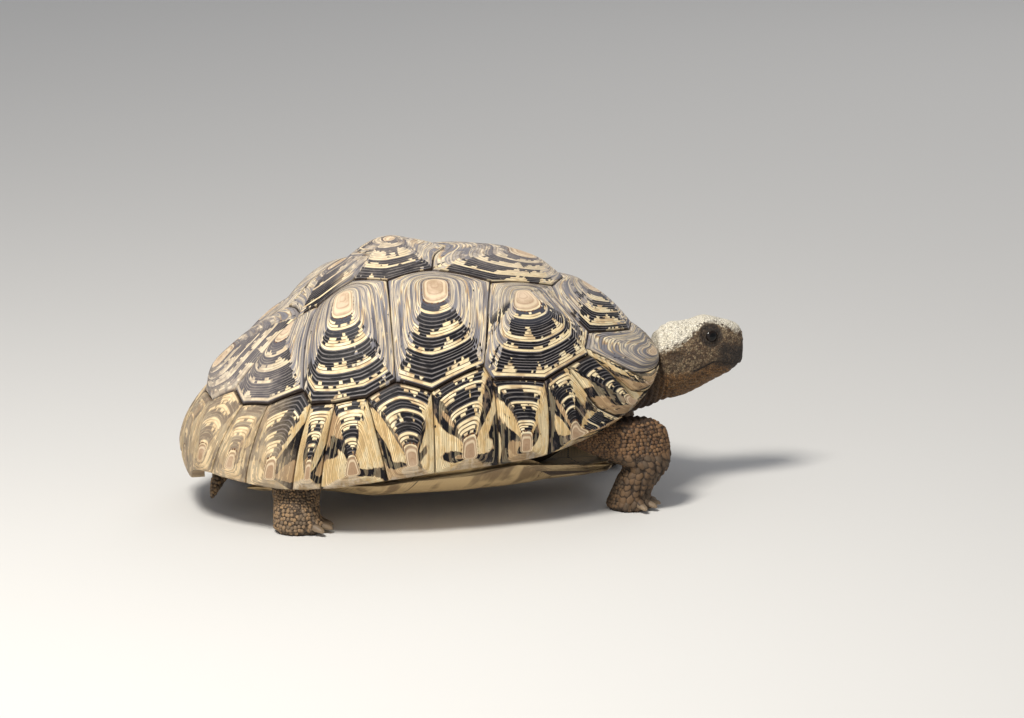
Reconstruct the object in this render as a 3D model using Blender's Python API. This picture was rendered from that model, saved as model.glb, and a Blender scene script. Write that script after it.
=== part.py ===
"""A leopard tortoise standing on all four feet, as separate solids.

Metres, +Z up, the floor at z = 0. The animal looks along +X and its left side is +Y.
The carapace is one dome function, divided into horny scutes by corners that are named
once and shared by the scutes that meet there. The underside, trunk, neck, head, legs
and tail are lofts through named sections.
"""

import math

import bpy
import bmesh
from mathutils import Vector

# ------------------------------------------------------------------ driving sizes
ORIGIN_X = 0.0389          # middle of the whole length, from the shell's own zero
SHELL_APEX_X = -0.019      # where the dome is highest
SHELL_TOP = 0.2255         # height of the dome under the humps
SHELL_FRONT_X = 0.2125     # front and rear ends of the carapace
SHELL_REAR_X = -0.219
SHELL_HALF_WIDTH = 0.143
FRONT_CURVE = (2.32, 1.04)  # exponents of a meridian: how full it is outwards, upwards
SIDE_CURVE = (1.95, 1.95)
REAR_CURVE = (1.14, 1.53)
END_BLEND = 2.3            # how soon the side meridian takes over from the end ones

# Height of the shell's lower edge, by bearing: 0 is the front, 180 the rear.
RIM_HEIGHTS = (
    (0, 0.125), (12, 0.119), (25, 0.102), (39, 0.0857), (63, 0.064), (90, 0.056),
    (101, 0.051), (118, 0.043), (126, 0.041), (141, 0.043), (154, 0.046), (180, 0.048),
)
NECK_NOTCH = {"bearing": 0, "spread": 7, "rise": 0.013, "pull": 0.05, "from": 0.68}
TAIL_SHIELD = {"bearing": 180, "spread": 12, "rise": -0.020, "pull": 0.06, "from": 0.80}

PLATE = 0.006              # thickness of the horny shell
LIP = 0.012                # how far the edge scutes turn in underneath
LIP_DROP = 0.5             # how steeply the lip goes down at the front
SEAM = 0.0010              # half a seam, on the dome's unit map
RIM_SEAM = 0.0014          # the same at the rim, where the map is steeper
GAP = 0.0003               # between pieces that touch
AREOLA = 0.22              # share of a scute that is its flat first plate
HUMP_CURVE = 1.5

BELLY_HEIGHT = 0.020
BELLY_THICKNESS = 0.008

EYE_RADIUS = 0.0068
EYE_CENTRE = (0.2563, 0.0152, 0.1362)

# Corners where scutes meet, as (bearing in degrees, reach), reach 1 being the rim.
CORNERS = {
    "nape": (0, 0.685), "nape_side": (12.7, 0.668),
    "v1_v2_mid": (0, 0.400), "v1_v2": (23.2, 0.383), "v1_c1_low": (31.1, 0.435),
    "v1_c1_high": (34.1, 0.503), "v1_c1_m1": (34.6, 0.583),
    "v2_c1_c2": (53.0, 0.321), "v2_v3": (76.4, 0.230), "v2_v3_mid": (0, 0.080),
    "v3_c2_c3": (106.2, 0.279), "v3_v4": (133.6, 0.283), "v3_v4_mid": (180, 0.180),
    "v4_c3_c4": (147.8, 0.404), "v4_v5": (161.1, 0.458), "v4_v5_mid": (180, 0.445),
    "v5_c4": (159.5, 0.590), "v5_c4_m12": (159.8, 0.695), "v5_m12": (171.8, 0.744),
    "v5_tail": (180, 0.740),
    "c4_m11_m12": (150.1, 0.733), "c4_m10_m11": (138.9, 0.725), "c3_c4": (127.4, 0.679),
    "c3_m9_m10": (123.7, 0.723), "c3_m8_m9": (116.3, 0.725), "c3_m7_m8": (107.3, 0.720),
    "c2_c3": (99.3, 0.679), "c2_m6_m7": (89.5, 0.726), "c1_c2": (75.3, 0.655),
    "c1_m5_m6": (74.1, 0.702), "c1_m4_m5": (60.2, 0.722), "c1_m3_m4": (51.7, 0.687),
    "c1_m2_m3": (41.6, 0.660), "c1_m1_m2": (41.2, 0.636),
    "m1_m2_a": (34.6, 0.708), "m1_m2_b": (29.0, 0.793), "m2_m3_a": (38.0, 0.739),
    "m2_m3_b": (33.5, 0.862), "m3_m4_a": (49.0, 0.806), "m3_m4_b": (47.0, 0.867),
    "rim_front": (0, 1), "rim_1": (12, 1), "rim_2": (25, 1), "rim_3": (39, 1),
    "rim_4": (63.2, 1), "rim_5": (75.4, 1), "rim_6": (89.5, 1), "rim_7": (101.2, 1),
    "rim_8": (118.4, 1), "rim_9": (126.2, 1), "rim_10": (140.6, 1), "rim_11": (154.3, 1),
    "rim_12": (166.2, 1), "rim_rear": (180, 1),
}

# Scutes on the midline: corners down the right side, first plate's centre, hump height.
MIDLINE_SCUTES = {
    "vertebral_1": ("v1_v2_mid v1_v2 v1_c1_low v1_c1_high v1_c1_m1 nape_side nape",
                    (0, 0.47), 0.0050),
    "vertebral_2": ("v1_v2_mid v1_v2 v2_c1_c2 v2_v3 v2_v3_mid", (0, 0.28), 0.0070),
    "vertebral_3": ("v2_v3_mid v2_v3 v3_c2_c3 v3_v4 v3_v4_mid", (180, 0.05), 0.0095),
    "vertebral_4": ("v3_v4_mid v3_v4 v4_c3_c4 v4_v5 v4_v5_mid", (180, 0.29), 0.0140),
    "vertebral_5": ("v4_v5_mid v4_v5 v5_c4 v5_c4_m12 v5_m12 v5_tail",
                    (180, 0.66), 0.0130),
    "supracaudal": ("v5_tail v5_m12 rim_12 rim_rear", (180, 0.94), 0.0030),
}
# Scutes that come in pairs, for the right side.
PAIRED_SCUTES = {
    "costal_1": ("v1_v2 v2_c1_c2 c1_c2 c1_m5_m6 c1_m4_m5 c1_m3_m4 c1_m2_m3 c1_m1_m2 "
                 "v1_c1_m1 v1_c1_high v1_c1_low", (49, 0.405), 0.0050),
    "costal_2": ("v2_c1_c2 v2_v3 v3_c2_c3 c2_c3 c2_m6_m7 c1_c2", (82, 0.325), 0.0050),
    "costal_3": ("v3_c2_c3 v3_v4 v4_c3_c4 c3_c4 c3_m9_m10 c3_m8_m9 c3_m7_m8 c2_c3",
                 (126.7, 0.371), 0.0060),
    "costal_4": ("v4_c3_c4 v4_v5 v5_c4 v5_c4_m12 c4_m11_m12 c4_m10_m11 c3_c4",
                 (153.7, 0.489), 0.0035),
    "marginal_1": ("nape nape_side v1_c1_m1 c1_m1_m2 m1_m2_a m1_m2_b rim_1 rim_front",
                   (12, 0.85), 0.0020),
    "marginal_2": ("c1_m1_m2 m1_m2_a m1_m2_b rim_1 rim_2 m2_m3_b m2_m3_a c1_m2_m3",
                   (24, 0.94), 0.0020),
    "marginal_3": ("c1_m2_m3 m2_m3_a m2_m3_b rim_2 rim_3 m3_m4_b m3_m4_a c1_m3_m4",
                   (35, 0.93), 0.0030),
    "marginal_4": ("c1_m3_m4 m3_m4_a m3_m4_b rim_3 rim_4 c1_m4_m5", (56, 0.95), 0.0030),
    "marginal_5": ("c1_m4_m5 rim_4 rim_5 c1_m5_m6", (69, 0.95), 0.0030),
    "marginal_6": ("c1_m5_m6 rim_5 rim_6 c2_m6_m7 c1_c2", (82, 0.95), 0.0030),
    "marginal_7": ("c2_m6_m7 rim_6 rim_7 c3_m7_m8 c2_c3", (95, 0.95), 0.0030),
    "marginal_8": ("c3_m7_m8 rim_7 rim_8 c3_m8_m9", (110, 0.95), 0.0030),
    "marginal_9": ("c3_m8_m9 rim_8 rim_9 c3_m9_m10", (121.8, 0.95), 0.0030),
    "marginal_10": ("c3_m9_m10 rim_9 rim_10 c4_m10_m11 c3_c4", (132.5, 0.95), 0.0030),
    "marginal_11": ("c4_m10_m11 rim_10 rim_11 c4_m11_m12", (146, 0.93), 0.0030),
    "marginal_12": ("c4_m11_m12 rim_11 rim_12 v5_m12 v5_c4_m12", (159, 0.93), 0.0030),
}
BIG_SCUTE = {"step": 0.085, "rings": (1.0, 0.74, 0.46, AREOLA), "inner": (1.0, 0.5)}
EDGE_SCUTE = {"step": 0.11, "rings": (1.0, 0.55, AREOLA), "inner": (1.0,)}

# Underside, front to rear: x, half width, height of the turned-up edge.
PLASTRON_SECTIONS = (
    (0.1660, 0.022, 0.0250), (0.1580, 0.040, 0.0255), (0.1350, 0.055, 0.0265),
    (0.1020, 0.066, 0.0280), (0.0820, 0.100, 0.0430), (0.0600, 0.1215, 0.0545),
    (0.0200, 0.1290, 0.0490), (-0.0200, 0.1295, 0.0470), (-0.0600, 0.1260, 0.0430),
    (-0.0790, 0.1000, 0.0370), (-0.0960, 0.066, 0.0275), (-0.1300, 0.058, 0.0265),
    (-0.1520, 0.050, 0.0262), (-0.1640, 0.040, 0.0262),
)
PLASTRON_SIDE_STEPS = (0.0, 0.4, 0.68, 0.87, 1.0)
ANAL_NOTCH = 0.016
GULAR_POINT = 0.006

# Soft trunk inside the shell: ring radii by bearing are worked out from these.
TRUNK_FLOOR = {"front": 0.118, "rear": 0.120, "side": 0.054, "height": 0.0300}
TRUNK_WALL = {"front": 0.160, "rear": 0.148, "side": 0.108, "height": 0.0620}
TRUNK_DOME_REACHES = (0.78, 0.62, 0.40, 0.18)
TRUNK_CLEARANCE = 0.0070
TRUNK_BEARINGS = 24

# Sections of the neck and head: x, top, bottom, half width, height of the widest line,
# fullness above and below that line.
NECK_SECTIONS = (
    (0.1500, 0.1140, 0.0640, 0.0290, 0.092, 2.0, 2.0),
    (0.1780, 0.1180, 0.0650, 0.0300, 0.093, 2.0, 2.0),
    (0.1930, 0.1205, 0.0690, 0.0285, 0.096, 1.9, 2.0),
    (0.2040, 0.1290, 0.0720, 0.0280, 0.098, 1.8, 2.0),
    (0.2130, 0.1415, 0.0755, 0.0275, 0.103, 1.9, 2.0),
    (0.2240, 0.1475, 0.0780, 0.0270, 0.107, 2.0, 2.0),
)
HEAD_SECTIONS = (
    (0.2243, 0.1475, 0.0780, 0.0270, 0.107, 2.0, 2.0),
    (0.2330, 0.1478, 0.0795, 0.0262, 0.110, 2.1, 1.9),
    (0.2430, 0.1490, 0.0830, 0.0250, 0.114, 2.3, 1.9),
    (0.2530, 0.1520, 0.0875, 0.0232, 0.118, 2.5, 1.9),
    (0.2620, 0.1508, 0.0920, 0.0216, 0.120, 2.5, 1.9),
    (0.2700, 0.1485, 0.0957, 0.0196, 0.121, 2.4, 2.0),
    (0.2775, 0.1466, 0.0990, 0.0170, 0.121, 2.3, 2.0),
    (0.2835, 0.1440, 0.1030, 0.0138, 0.121, 2.2, 2.0),
    (0.2875, 0.1400, 0.1080, 0.0102, 0.121, 2.1, 2.0),
    (0.2896, 0.1340, 0.1140, 0.0060, 0.122, 2.0, 2.0),
)
# The cut between the jaws, from the corner of the mouth to past the beak: x, height.
MOUTH_LINE = ((0.2400, 0.1070), (0.2490, 0.1098), (0.2593, 0.1135), (0.2700, 0.1120),
              (0.2815, 0.1085), (0.3000, 0.1060))

# Legs on the right side as level sections, sole first: height, x, y, half length, half
# width. The foot ends and the leg begins at ANKLE.
ANKLE = 0.0165
FRONT_LEG = (
    (0.0000, 0.1670, -0.0790, 0.0170, 0.0175), (0.0030, 0.1670, -0.0790, 0.0190, 0.0192),
    (0.0110, 0.1685, -0.0792, 0.0188, 0.0190), (ANKLE, 0.1705, -0.0795, 0.0185, 0.0188),
    (0.0270, 0.1760, -0.0800, 0.0200, 0.0192), (0.0400, 0.1815, -0.0800, 0.0225, 0.0205),
    (0.0500, 0.1700, -0.0770, 0.0370, 0.0215), (0.0620, 0.1590, -0.0735, 0.0475, 0.0225),
    (0.0730, 0.1560, -0.0720, 0.0450, 0.0200), (0.0790, 0.1560, -0.0710, 0.0360, 0.0150),
)
HIND_LEG = (
    (0.0000, -0.1300, -0.0985, 0.0185, 0.0180), (0.0030, -0.1300, -0.0985, 0.0208, 0.0203),
    (0.0110, -0.1300, -0.0975, 0.0212, 0.0207), (ANKLE, -0.1298, -0.0965, 0.0212, 0.0207),
    (0.0250, -0.1290, -0.0920, 0.0212, 0.0205), (0.0340, -0.1275, -0.0845, 0.0230, 0.0208),
    (0.0460, -0.1200, -0.0755, 0.0310, 0.0240), (0.0600, -0.1130, -0.0700, 0.0370, 0.0260),
    (0.0760, -0.1080, -0.0660, 0.0340, 0.0240), (0.0860, -0.1060, -0.0640, 0.0220, 0.0160),
)
FAR_STRIDE = {"front": 0.008, "hind": -0.010}  # how far the left feet stand from the right
LEG_SIDES = 14
FRONT_CLAWS = {"count": 5, "spread": 56, "length": 0.0105, "radius": 0.0052}
HIND_CLAWS = {"count": 4, "spread": 42, "length": 0.0115, "radius": 0.0060}
CLAW_BLUNTNESS = 0.42      # radius of a claw's tip, as a share of its root's
CLAW_TURN_OUT = 12         # degrees the toes point away from the midline
CLAW_HEIGHT = 0.0066
CLAW_TIP_HEIGHT = 0.0014
CLAW_SINK = 0.006          # how deep a claw's root sits in the foot

# Tail: centre and radius of its sections.
TAIL_SECTIONS = (
    ((-0.1500, 0.000, 0.0540), 0.0150), ((-0.1680, -0.005, 0.0450), 0.0120),
    ((-0.1810, -0.013, 0.0345), 0.0085), ((-0.1890, -0.023, 0.0240), 0.0055),
    ((-0.1935, -0.031, 0.0160), 0.0022),
)

FINISHES = {
    "shell_horn": ((0.62, 0.47, 0.24), 0.45),
    "belly_horn": ((0.66, 0.50, 0.27), 0.50),
    "scaly_skin": ((0.30, 0.21, 0.13), 0.75),
    "head_skin": ((0.52, 0.45, 0.31), 0.65),
    "eye": ((0.02, 0.013, 0.008), 0.08),
}

JAW_CUT_HALF_WIDTH = 0.06


# ------------------------------------------------------------------ small tools
def smooth_step(value):
    """0 below 0, 1 above 1, and a soft S between."""
    value = min(max(value, 0.0), 1.0)
    return value * value * (3 - 2 * value)


def along(stops, place):
    """A smooth curve through (place, value) stops."""
    places = [stop[0] for stop in stops]
    values = [stop[1] for stop in stops]
    last = len(stops) - 1
    slopes = [0.0] * len(stops)
    for i in range(1, last):
        before, after = places[i] - places[i - 1], places[i + 1] - places[i]
        fall = (values[i] - values[i - 1]) / before
        rise = (values[i + 1] - values[i]) / after
        slopes[i] = (fall * after + rise * before) / (before + after)
    i = max(0, min(last - 1, sum(place >= p for p in places) - 1))
    width = places[i + 1] - places[i]
    t = (place - places[i]) / width
    return (
        (2 * t**3 - 3 * t**2 + 1) * values[i]
        + (t**3 - 2 * t**2 + t) * width * slopes[i]
        + (3 * t**2 - 2 * t**3) * values[i + 1]
        + (t**3 - t**2) * width * slopes[i + 1]
    )


def make_material(name, colour, roughness):
    material = bpy.data.materials.new(name)
    material.use_nodes = True
    shader = material.node_tree.nodes["Principled BSDF"]
    shader.inputs["Base Color"].default_value = (*colour, 1)
    shader.inputs["Roughness"].default_value = roughness
    return material


def make_part(name, mesh_data, finish, origin=Vector()):
    """A named part, with its own origin, under the tortoise's root."""
    part = bpy.data.objects.new(name, mesh_data.to_mesh_at(origin))
    part.location = origin
    part.parent = bpy.data.objects["tortoise_root"]
    part.data.materials.append(bpy.data.materials[finish])
    bpy.data.collections["tortoise"].objects.link(part)
    return part


class Shape:
    """A closed mesh in the making, built ring by ring."""

    def __init__(self):
        self.bm = bmesh.new()

    def ring(self, points):
        return [self.bm.verts.new(point) for point in points]

    def band(self, first, second):
        """Faces between two rings of the same count."""
        for i in range(len(first)):
            j = (i + 1) % len(first)
            self.bm.faces.new((first[i], first[j], second[j], second[i]))

    def wall(self, inner, outer, places):
        """A band whose quads are split the same way as those of the neighbour it faces."""
        for i in range(len(inner)):
            j = (i + 1) % len(inner)
            if places[i].x + places[i].y / 2 > places[j].x + places[j].y / 2:
                self.bm.faces.new((inner[i], inner[j], outer[i]))
                self.bm.faces.new((inner[j], outer[j], outer[i]))
            else:
                self.bm.faces.new((inner[i], inner[j], outer[j]))
                self.bm.faces.new((inner[i], outer[j], outer[i]))

    def fan(self, ring, point):
        middle = self.bm.verts.new(point)
        for i in range(len(ring)):
            self.bm.faces.new((ring[i], ring[(i + 1) % len(ring)], middle))

    def cap(self, ring):
        self.bm.faces.new(ring)

    def loft(self, sections):
        """A closed solid through rings of points."""
        rings = [self.ring(points) for points in sections]
        for first, second in zip(rings, rings[1:]):
            self.band(first, second)
        self.cap(rings[0][::-1])
        self.cap(rings[-1])
        return self

    def to_mesh_at(self, origin):
        bmesh.ops.recalc_face_normals(self.bm, faces=self.bm.faces)
        if self.bm.calc_volume(signed=True) < 0:
            bmesh.ops.reverse_faces(self.bm, faces=self.bm.faces)
        bmesh.ops.translate(self.bm, verts=self.bm.verts, vec=-Vector(origin))
        mesh = bpy.data.meshes.new("solid")
        self.bm.to_mesh(mesh)
        self.bm.free()
        mesh.shade_smooth()
        mesh.set_sharp_from_angle(angle=math.radians(40))
        return mesh


# ------------------------------------------------------------------ carapace
def on_map(bearing, reach):
    """A place on the dome's unit map; the right side has negative second number."""
    angle = math.radians(bearing)
    return Vector((reach * math.cos(angle), -reach * math.sin(angle)))


def local_swell(feature, bearing, reach):
    """How strongly the neck notch or the tail shield acts at a place."""
    near = math.exp(-(((bearing - feature["bearing"]) / feature["spread"]) ** 2))
    start = feature["from"]
    return near * smooth_step((reach - start) / (1 - start))


def dome(place):
    """The point of the bare dome over a place on the map."""
    reach = min(place.length, 1.0)
    angle = math.atan2(abs(place.y), place.x)
    bearing = math.degrees(angle)
    end_curve = FRONT_CURVE if place.x > 0 else REAR_CURVE
    end_share = abs(math.cos(angle)) ** END_BLEND
    outward, upward = (
        side + (end - side) * end_share for side, end in zip(SIDE_CURVE, end_curve)
    )
    across = math.sin(reach * math.pi / 2) ** (2 / outward)
    height = max(math.cos(reach * math.pi / 2), 0.0) ** (2 / upward)
    notch = local_swell(NECK_NOTCH, bearing, reach)
    shield = local_swell(TAIL_SHIELD, bearing, reach)
    across *= 1 - NECK_NOTCH["pull"] * notch - TAIL_SHIELD["pull"] * shield
    end_x = SHELL_FRONT_X if place.x > 0 else SHELL_REAR_X
    rim = along(RIM_HEIGHTS, bearing)
    return Vector((
        SHELL_APEX_X + abs(end_x - SHELL_APEX_X) * math.cos(angle) * across,
        math.copysign(SHELL_HALF_WIDTH * math.sin(angle) * across, place.y),
        rim + (SHELL_TOP - rim) * height
        + NECK_NOTCH["rise"] * notch + TAIL_SHIELD["rise"] * shield,
    ))


def dome_normal(place):
    """Outward direction of the dome, read just inside the rim."""
    step = 0.004
    if place.length > 1 - 2 * step:
        place = place.normalized() * (1 - 2 * step)
    along_x = dome(place + Vector((step, 0))) - dome(place - Vector((step, 0)))
    along_y = dome(place + Vector((0, step))) - dome(place - Vector((0, step)))
    return along_x.cross(along_y).normalized()


def hump(share):
    """Height of a scute's hump, 1 on its first plate and 0 at its seam."""
    return 1 - max(0.0, (share - AREOLA) / (1 - AREOLA)) ** HUMP_CURVE


def under_shell(place, thickness=PLATE, lip=LIP):
    """The point under a place: straight in, or level inwards near the rim."""
    edge = smooth_step((place.length - 0.8) / 0.2)
    point = dome(place)
    level = Vector((SHELL_APEX_X - point.x, -point.y, 0)).normalized()
    level.z = LIP_DROP * min(level.x, 0.0)
    inward = -dome_normal(place)
    return point + inward.lerp(level, edge) * (thickness + (lip - thickness) * edge)


def scute_outline(corner_names, mirrored, step):
    """Closed outline on the map, its long edges divided; along the rim it stays on it."""
    corners = [CORNERS[name] for name in corner_names.split()]
    if mirrored:
        corners += [(-b, r) for b, r in reversed(corners) if b not in (0, 180)]
    outline = []
    for (bearing, reach), (next_bearing, next_reach) in zip(corners, corners[1:] + corners[:1]):
        start, end = on_map(bearing, reach), on_map(next_bearing, next_reach)
        count = max(1, math.ceil((end - start).length / step - 0.2))
        if bearing == 180 and next_bearing < 0:
            next_bearing += 360
        on_rim = reach == 1 and next_reach == 1
        for i in range(count):
            share = i / count
            outline.append(
                on_map(bearing + (next_bearing - bearing) * share, 1) if on_rim
                else start.lerp(end, share)
            )
    return outline


def drawn_in(outline):
    """The outline moved inwards by half a seam."""
    area = sum(a.x * b.y - a.y * b.x for a, b in zip(outline, outline[1:] + outline[:1]))
    turn = math.copysign(1.0, area)
    result = []
    for i, point in enumerate(outline):
        before = (point - outline[i - 1]).normalized()
        after = (outline[(i + 1) % len(outline)] - point).normalized()
        inward = Vector((-(before.y + after.y), before.x + after.x)) * turn
        inward /= max(inward.length_squared / 2, 0.3)
        near_rim = smooth_step((point.length - 0.8) / 0.2)
        result.append(point + inward * (SEAM + (RIM_SEAM - SEAM) * near_rim))
    return result


def make_scute(name, corner_names, centre, height, mirrored, side=1):
    """One horny plate, with its hump and its share of the shell's thickness."""
    detail = EDGE_SCUTE if name.startswith("marginal") else BIG_SCUTE
    middle = on_map(*centre)
    outline = drawn_in(scute_outline(corner_names, mirrored, detail["step"]))

    def outer(place, share):
        return dome(place) + dome_normal(place) * height * hump(share)

    def turned(points):
        return [Vector((p.x, p.y * side, p.z)) for p in points]

    shape = Shape()
    skin = [
        shape.ring(turned(outer(middle.lerp(p, share), share) for p in outline))
        for share in detail["rings"]
    ]
    inside = [
        shape.ring(turned(under_shell(middle.lerp(p, share)) for p in outline))
        for share in detail["inner"]
    ]
    for first, second in zip(skin, skin[1:]):
        shape.band(first, second)
    shape.fan(skin[-1], turned([outer(middle, 0)])[0])
    for first, second in zip(inside, inside[1:]):
        shape.band(second, first)
    shape.fan(inside[-1][::-1], turned([under_shell(middle)])[0])
    shape.wall(inside[0], skin[0], outline)
    make_part(name, shape, "shell_horn", turned([dome(middle)])[0])


def make_carapace():
    for name, (corners, centre, height) in MIDLINE_SCUTES.items():
        make_scute(name, corners, centre, height, mirrored=True)
    for name, (corners, centre, height) in PAIRED_SCUTES.items():
        kind, number = name.split("_")
        for side_name, side in (("right", 1), ("left", -1)):
            make_scute(f"{kind}_{side_name}_{number}", corners, centre, height, False, side)


# ------------------------------------------------------------------ underside and trunk
def plastron_section(x, half_width, edge_height):
    """A closed ring across the underside, its edges turned up to meet the rim."""
    steps = [-s for s in PLASTRON_SIDE_STEPS[:0:-1]] + list(PLASTRON_SIDE_STEPS)
    below, above = [], []
    for s in steps:
        height = BELLY_HEIGHT + (edge_height - BELLY_HEIGHT) * abs(s) ** 4
        notch = ANAL_NOTCH * (1 - abs(s)) * smooth_step((-0.125 - x) / 0.04)
        point = GULAR_POINT * (1 - abs(s)) * smooth_step((x - 0.13) / 0.035)
        place = Vector((x + notch + point, s * half_width, height))
        below.append(place)
        above.append(place + Vector((0, 0, BELLY_THICKNESS)))
    return below + above[::-1]


def make_plastron():
    shape = Shape().loft([plastron_section(*section) for section in PLASTRON_SECTIONS])
    make_part("plastron", shape, "belly_horn", Vector((0, 0, BELLY_HEIGHT)))


def plan_ring(sizes):
    """An oval ring at one height, longer to the front or rear."""
    points = []
    for i in range(TRUNK_BEARINGS):
        angle = 2 * math.pi * i / TRUNK_BEARINGS
        length = sizes["front"] if math.cos(angle) > 0 else sizes["rear"]
        points.append(Vector((
            length * math.cos(angle), -sizes["side"] * math.sin(angle), sizes["height"],
        )))
    return points


def dome_ring(reach):
    """A ring just under the horny shell."""
    ring = []
    for i in range(TRUNK_BEARINGS):
        bearing = 360 * i / TRUNK_BEARINGS
        place = on_map(bearing, reach)
        ring.append(under_shell(place, PLATE + TRUNK_CLEARANCE, LIP))
    return ring


def make_trunk():
    shape = Shape()
    rings = [shape.ring(plan_ring(TRUNK_FLOOR)), shape.ring(plan_ring(TRUNK_WALL))]
    rings += [shape.ring(dome_ring(reach)) for reach in TRUNK_DOME_REACHES]
    for first, second in zip(rings, rings[1:]):
        shape.band(first, second)
    shape.cap(rings[0][::-1])
    shape.fan(rings[-1], dome(Vector((0, 0))) - Vector((0, 0, PLATE + TRUNK_CLEARANCE)))
    return make_part("trunk", shape, "scaly_skin", Vector((0, 0, TRUNK_WALL["height"])))


# ------------------------------------------------------------------ head and neck
def round_section(x, top, bottom, half_width, middle, fullness_above, fullness_below, sides):
    """A ring across the head or neck; fuller sections are squarer."""
    ring = []
    for i in range(sides):
        angle = 2 * math.pi * (i + 0.5) / sides
        cosine, sine = math.cos(angle), math.sin(angle)
        fullness = fullness_above if sine > 0 else fullness_below
        reach = (top - middle) if sine > 0 else (middle - bottom)
        ring.append(Vector((
            x,
            half_width * math.copysign(abs(cosine) ** (2 / fullness), cosine),
            middle + reach * math.copysign(abs(sine) ** (2 / fullness), sine),
        )))
    return ring


def make_neck():
    shape = Shape().loft([round_section(*s, 16) for s in NECK_SECTIONS])
    return make_part("neck", shape, "scaly_skin", Vector((NECK_SECTIONS[0][0], 0, 0.09)))


def make_cutter(name, shape):
    """A helper that shapes other parts and isn't one itself."""
    cutter = bpy.data.objects.new(name, shape.to_mesh_at(Vector()))
    cutter.parent = bpy.data.objects["tortoise_root"]
    cutter.hide_render = True
    cutter.display_type = "WIRE"
    bpy.data.collections["tortoise_cutters"].objects.link(cutter)
    return cutter


def cut(part, cutter, operation="DIFFERENCE"):
    modifier = part.modifiers.new(cutter.name, "BOOLEAN")
    modifier.operation = operation
    modifier.solver = "EXACT"
    modifier.object = cutter


def jaw_prism(grow):
    """The space of the lower jaw: below the mouth's line and in front of its corner."""
    back = MOUTH_LINE[0][0] - grow
    profile = [(back, 0.06)] + [(back, MOUTH_LINE[0][1] + grow)]
    profile += [(x, height + grow) for x, height in MOUTH_LINE[1:]]
    profile += [(MOUTH_LINE[-1][0], 0.06)]
    return Shape().loft([
        [Vector((x, y, z)) for x, z in profile] for y in (-JAW_CUT_HALF_WIDTH, JAW_CUT_HALF_WIDTH)
    ])


def make_head():
    sections = [round_section(*s, 18) for s in HEAD_SECTIONS]
    head = make_part("head", Shape().loft(sections), "head_skin", Vector((0.225, 0, 0.11)))
    jaw = make_part("jaw", Shape().loft(sections), "head_skin", Vector((0.240, 0, 0.105)))
    cut(head, make_cutter("mouth_cut", jaw_prism(GAP)))
    cut(jaw, make_cutter("jaw_space", jaw_prism(0.0)), "INTERSECT")
    for side_name, side in (("right", -1), ("left", 1)):
        centre = Vector((EYE_CENTRE[0], side * EYE_CENTRE[1], EYE_CENTRE[2]))
        make_part(f"eye_{side_name}", ball(EYE_RADIUS, Vector(), 2), "eye").location = centre
        cut(head, make_cutter(f"socket_{side_name}", ball(EYE_RADIUS + 2 * GAP, centre, 2)))
    return head


def ball(radius, centre, fineness):
    shape = Shape()
    bmesh.ops.create_icosphere(shape.bm, subdivisions=fineness, radius=radius)
    bmesh.ops.translate(shape.bm, verts=shape.bm.verts, vec=centre)
    return shape


# ------------------------------------------------------------------ legs and tail
def level_ring(height, x, y, half_length, half_width, grow=0.0):
    ring = []
    for i in range(LEG_SIDES):
        angle = 2 * math.pi * (i + 0.5) / LEG_SIDES
        ring.append(Vector((
            x + (half_length + grow) * math.cos(angle),
            y + (half_width + grow) * math.sin(angle),
            height,
        )))
    return ring


def strode(sections, side, stride):
    """A leg's sections on the given side, the lower ones moved along by the stride."""
    top = sections[-1][0]
    return [
        (z, x + stride * (1 - z / top), -y * side, length, width)
        for z, x, y, length, width in sections
    ]


def claw_shape(root, direction, length, radius):
    """A blunt cone that runs out and down from the edge of the foot."""
    start = root - direction * CLAW_SINK
    end = root + direction * length
    end.z = CLAW_TIP_HEIGHT + radius * CLAW_BLUNTNESS
    axis = (end - start).normalized()
    shape = Shape()
    bmesh.ops.create_cone(
        shape.bm, cap_ends=True, segments=6, radius1=radius,
        radius2=radius * CLAW_BLUNTNESS, depth=(end - start).length,
    )
    bmesh.ops.rotate(
        shape.bm, verts=shape.bm.verts,
        matrix=Vector((0, 0, 1)).rotation_difference(axis).to_matrix(),
    )
    bmesh.ops.translate(shape.bm, verts=shape.bm.verts, vec=(start + end) / 2)
    for vert in shape.bm.verts:
        vert.co.z = max(vert.co.z, CLAW_TIP_HEIGHT)
    return shape


def make_leg(kind, side_name, sections, claws):
    """A foot with its claws, and the leg above it. Returns the leg."""
    side = -1 if side_name == "right" else 1
    stride = 0.0 if side_name == "right" else FAR_STRIDE[kind]
    placed = strode(sections, side, stride)
    foot_rings = [level_ring(*s) for s in placed if s[0] <= ANKLE]
    leg_rings = [level_ring(*s) for s in placed if s[0] >= ANKLE]
    leg_rings[0] = [point + Vector((0, 0, GAP)) for point in leg_rings[0]]
    _, x, y, half_length, half_width = placed[1]
    sole = Vector((x, y, 0))
    foot = make_part(f"{kind}_foot_{side_name}", Shape().loft(foot_rings), "scaly_skin", sole)
    for i in range(claws["count"]):
        share = 2 * i / (claws["count"] - 1) - 1
        angle = math.radians(share * claws["spread"] + CLAW_TURN_OUT * side)
        direction = Vector((math.cos(angle), math.sin(angle), 0))
        root = Vector((x + half_length * direction.x, y + half_width * direction.y, CLAW_HEIGHT))
        shape = claw_shape(root, direction, claws["length"], claws["radius"])
        claw = make_cutter(f"{kind}_claw_{side_name}_{i + 1}", shape)
        cut(foot, claw, "UNION")
    hip = Vector(placed[-1][1:3]).to_3d()
    hip.z = placed[-1][0]
    return make_part(f"{kind}_leg_{side_name}", Shape().loft(leg_rings), "scaly_skin", hip)


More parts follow.
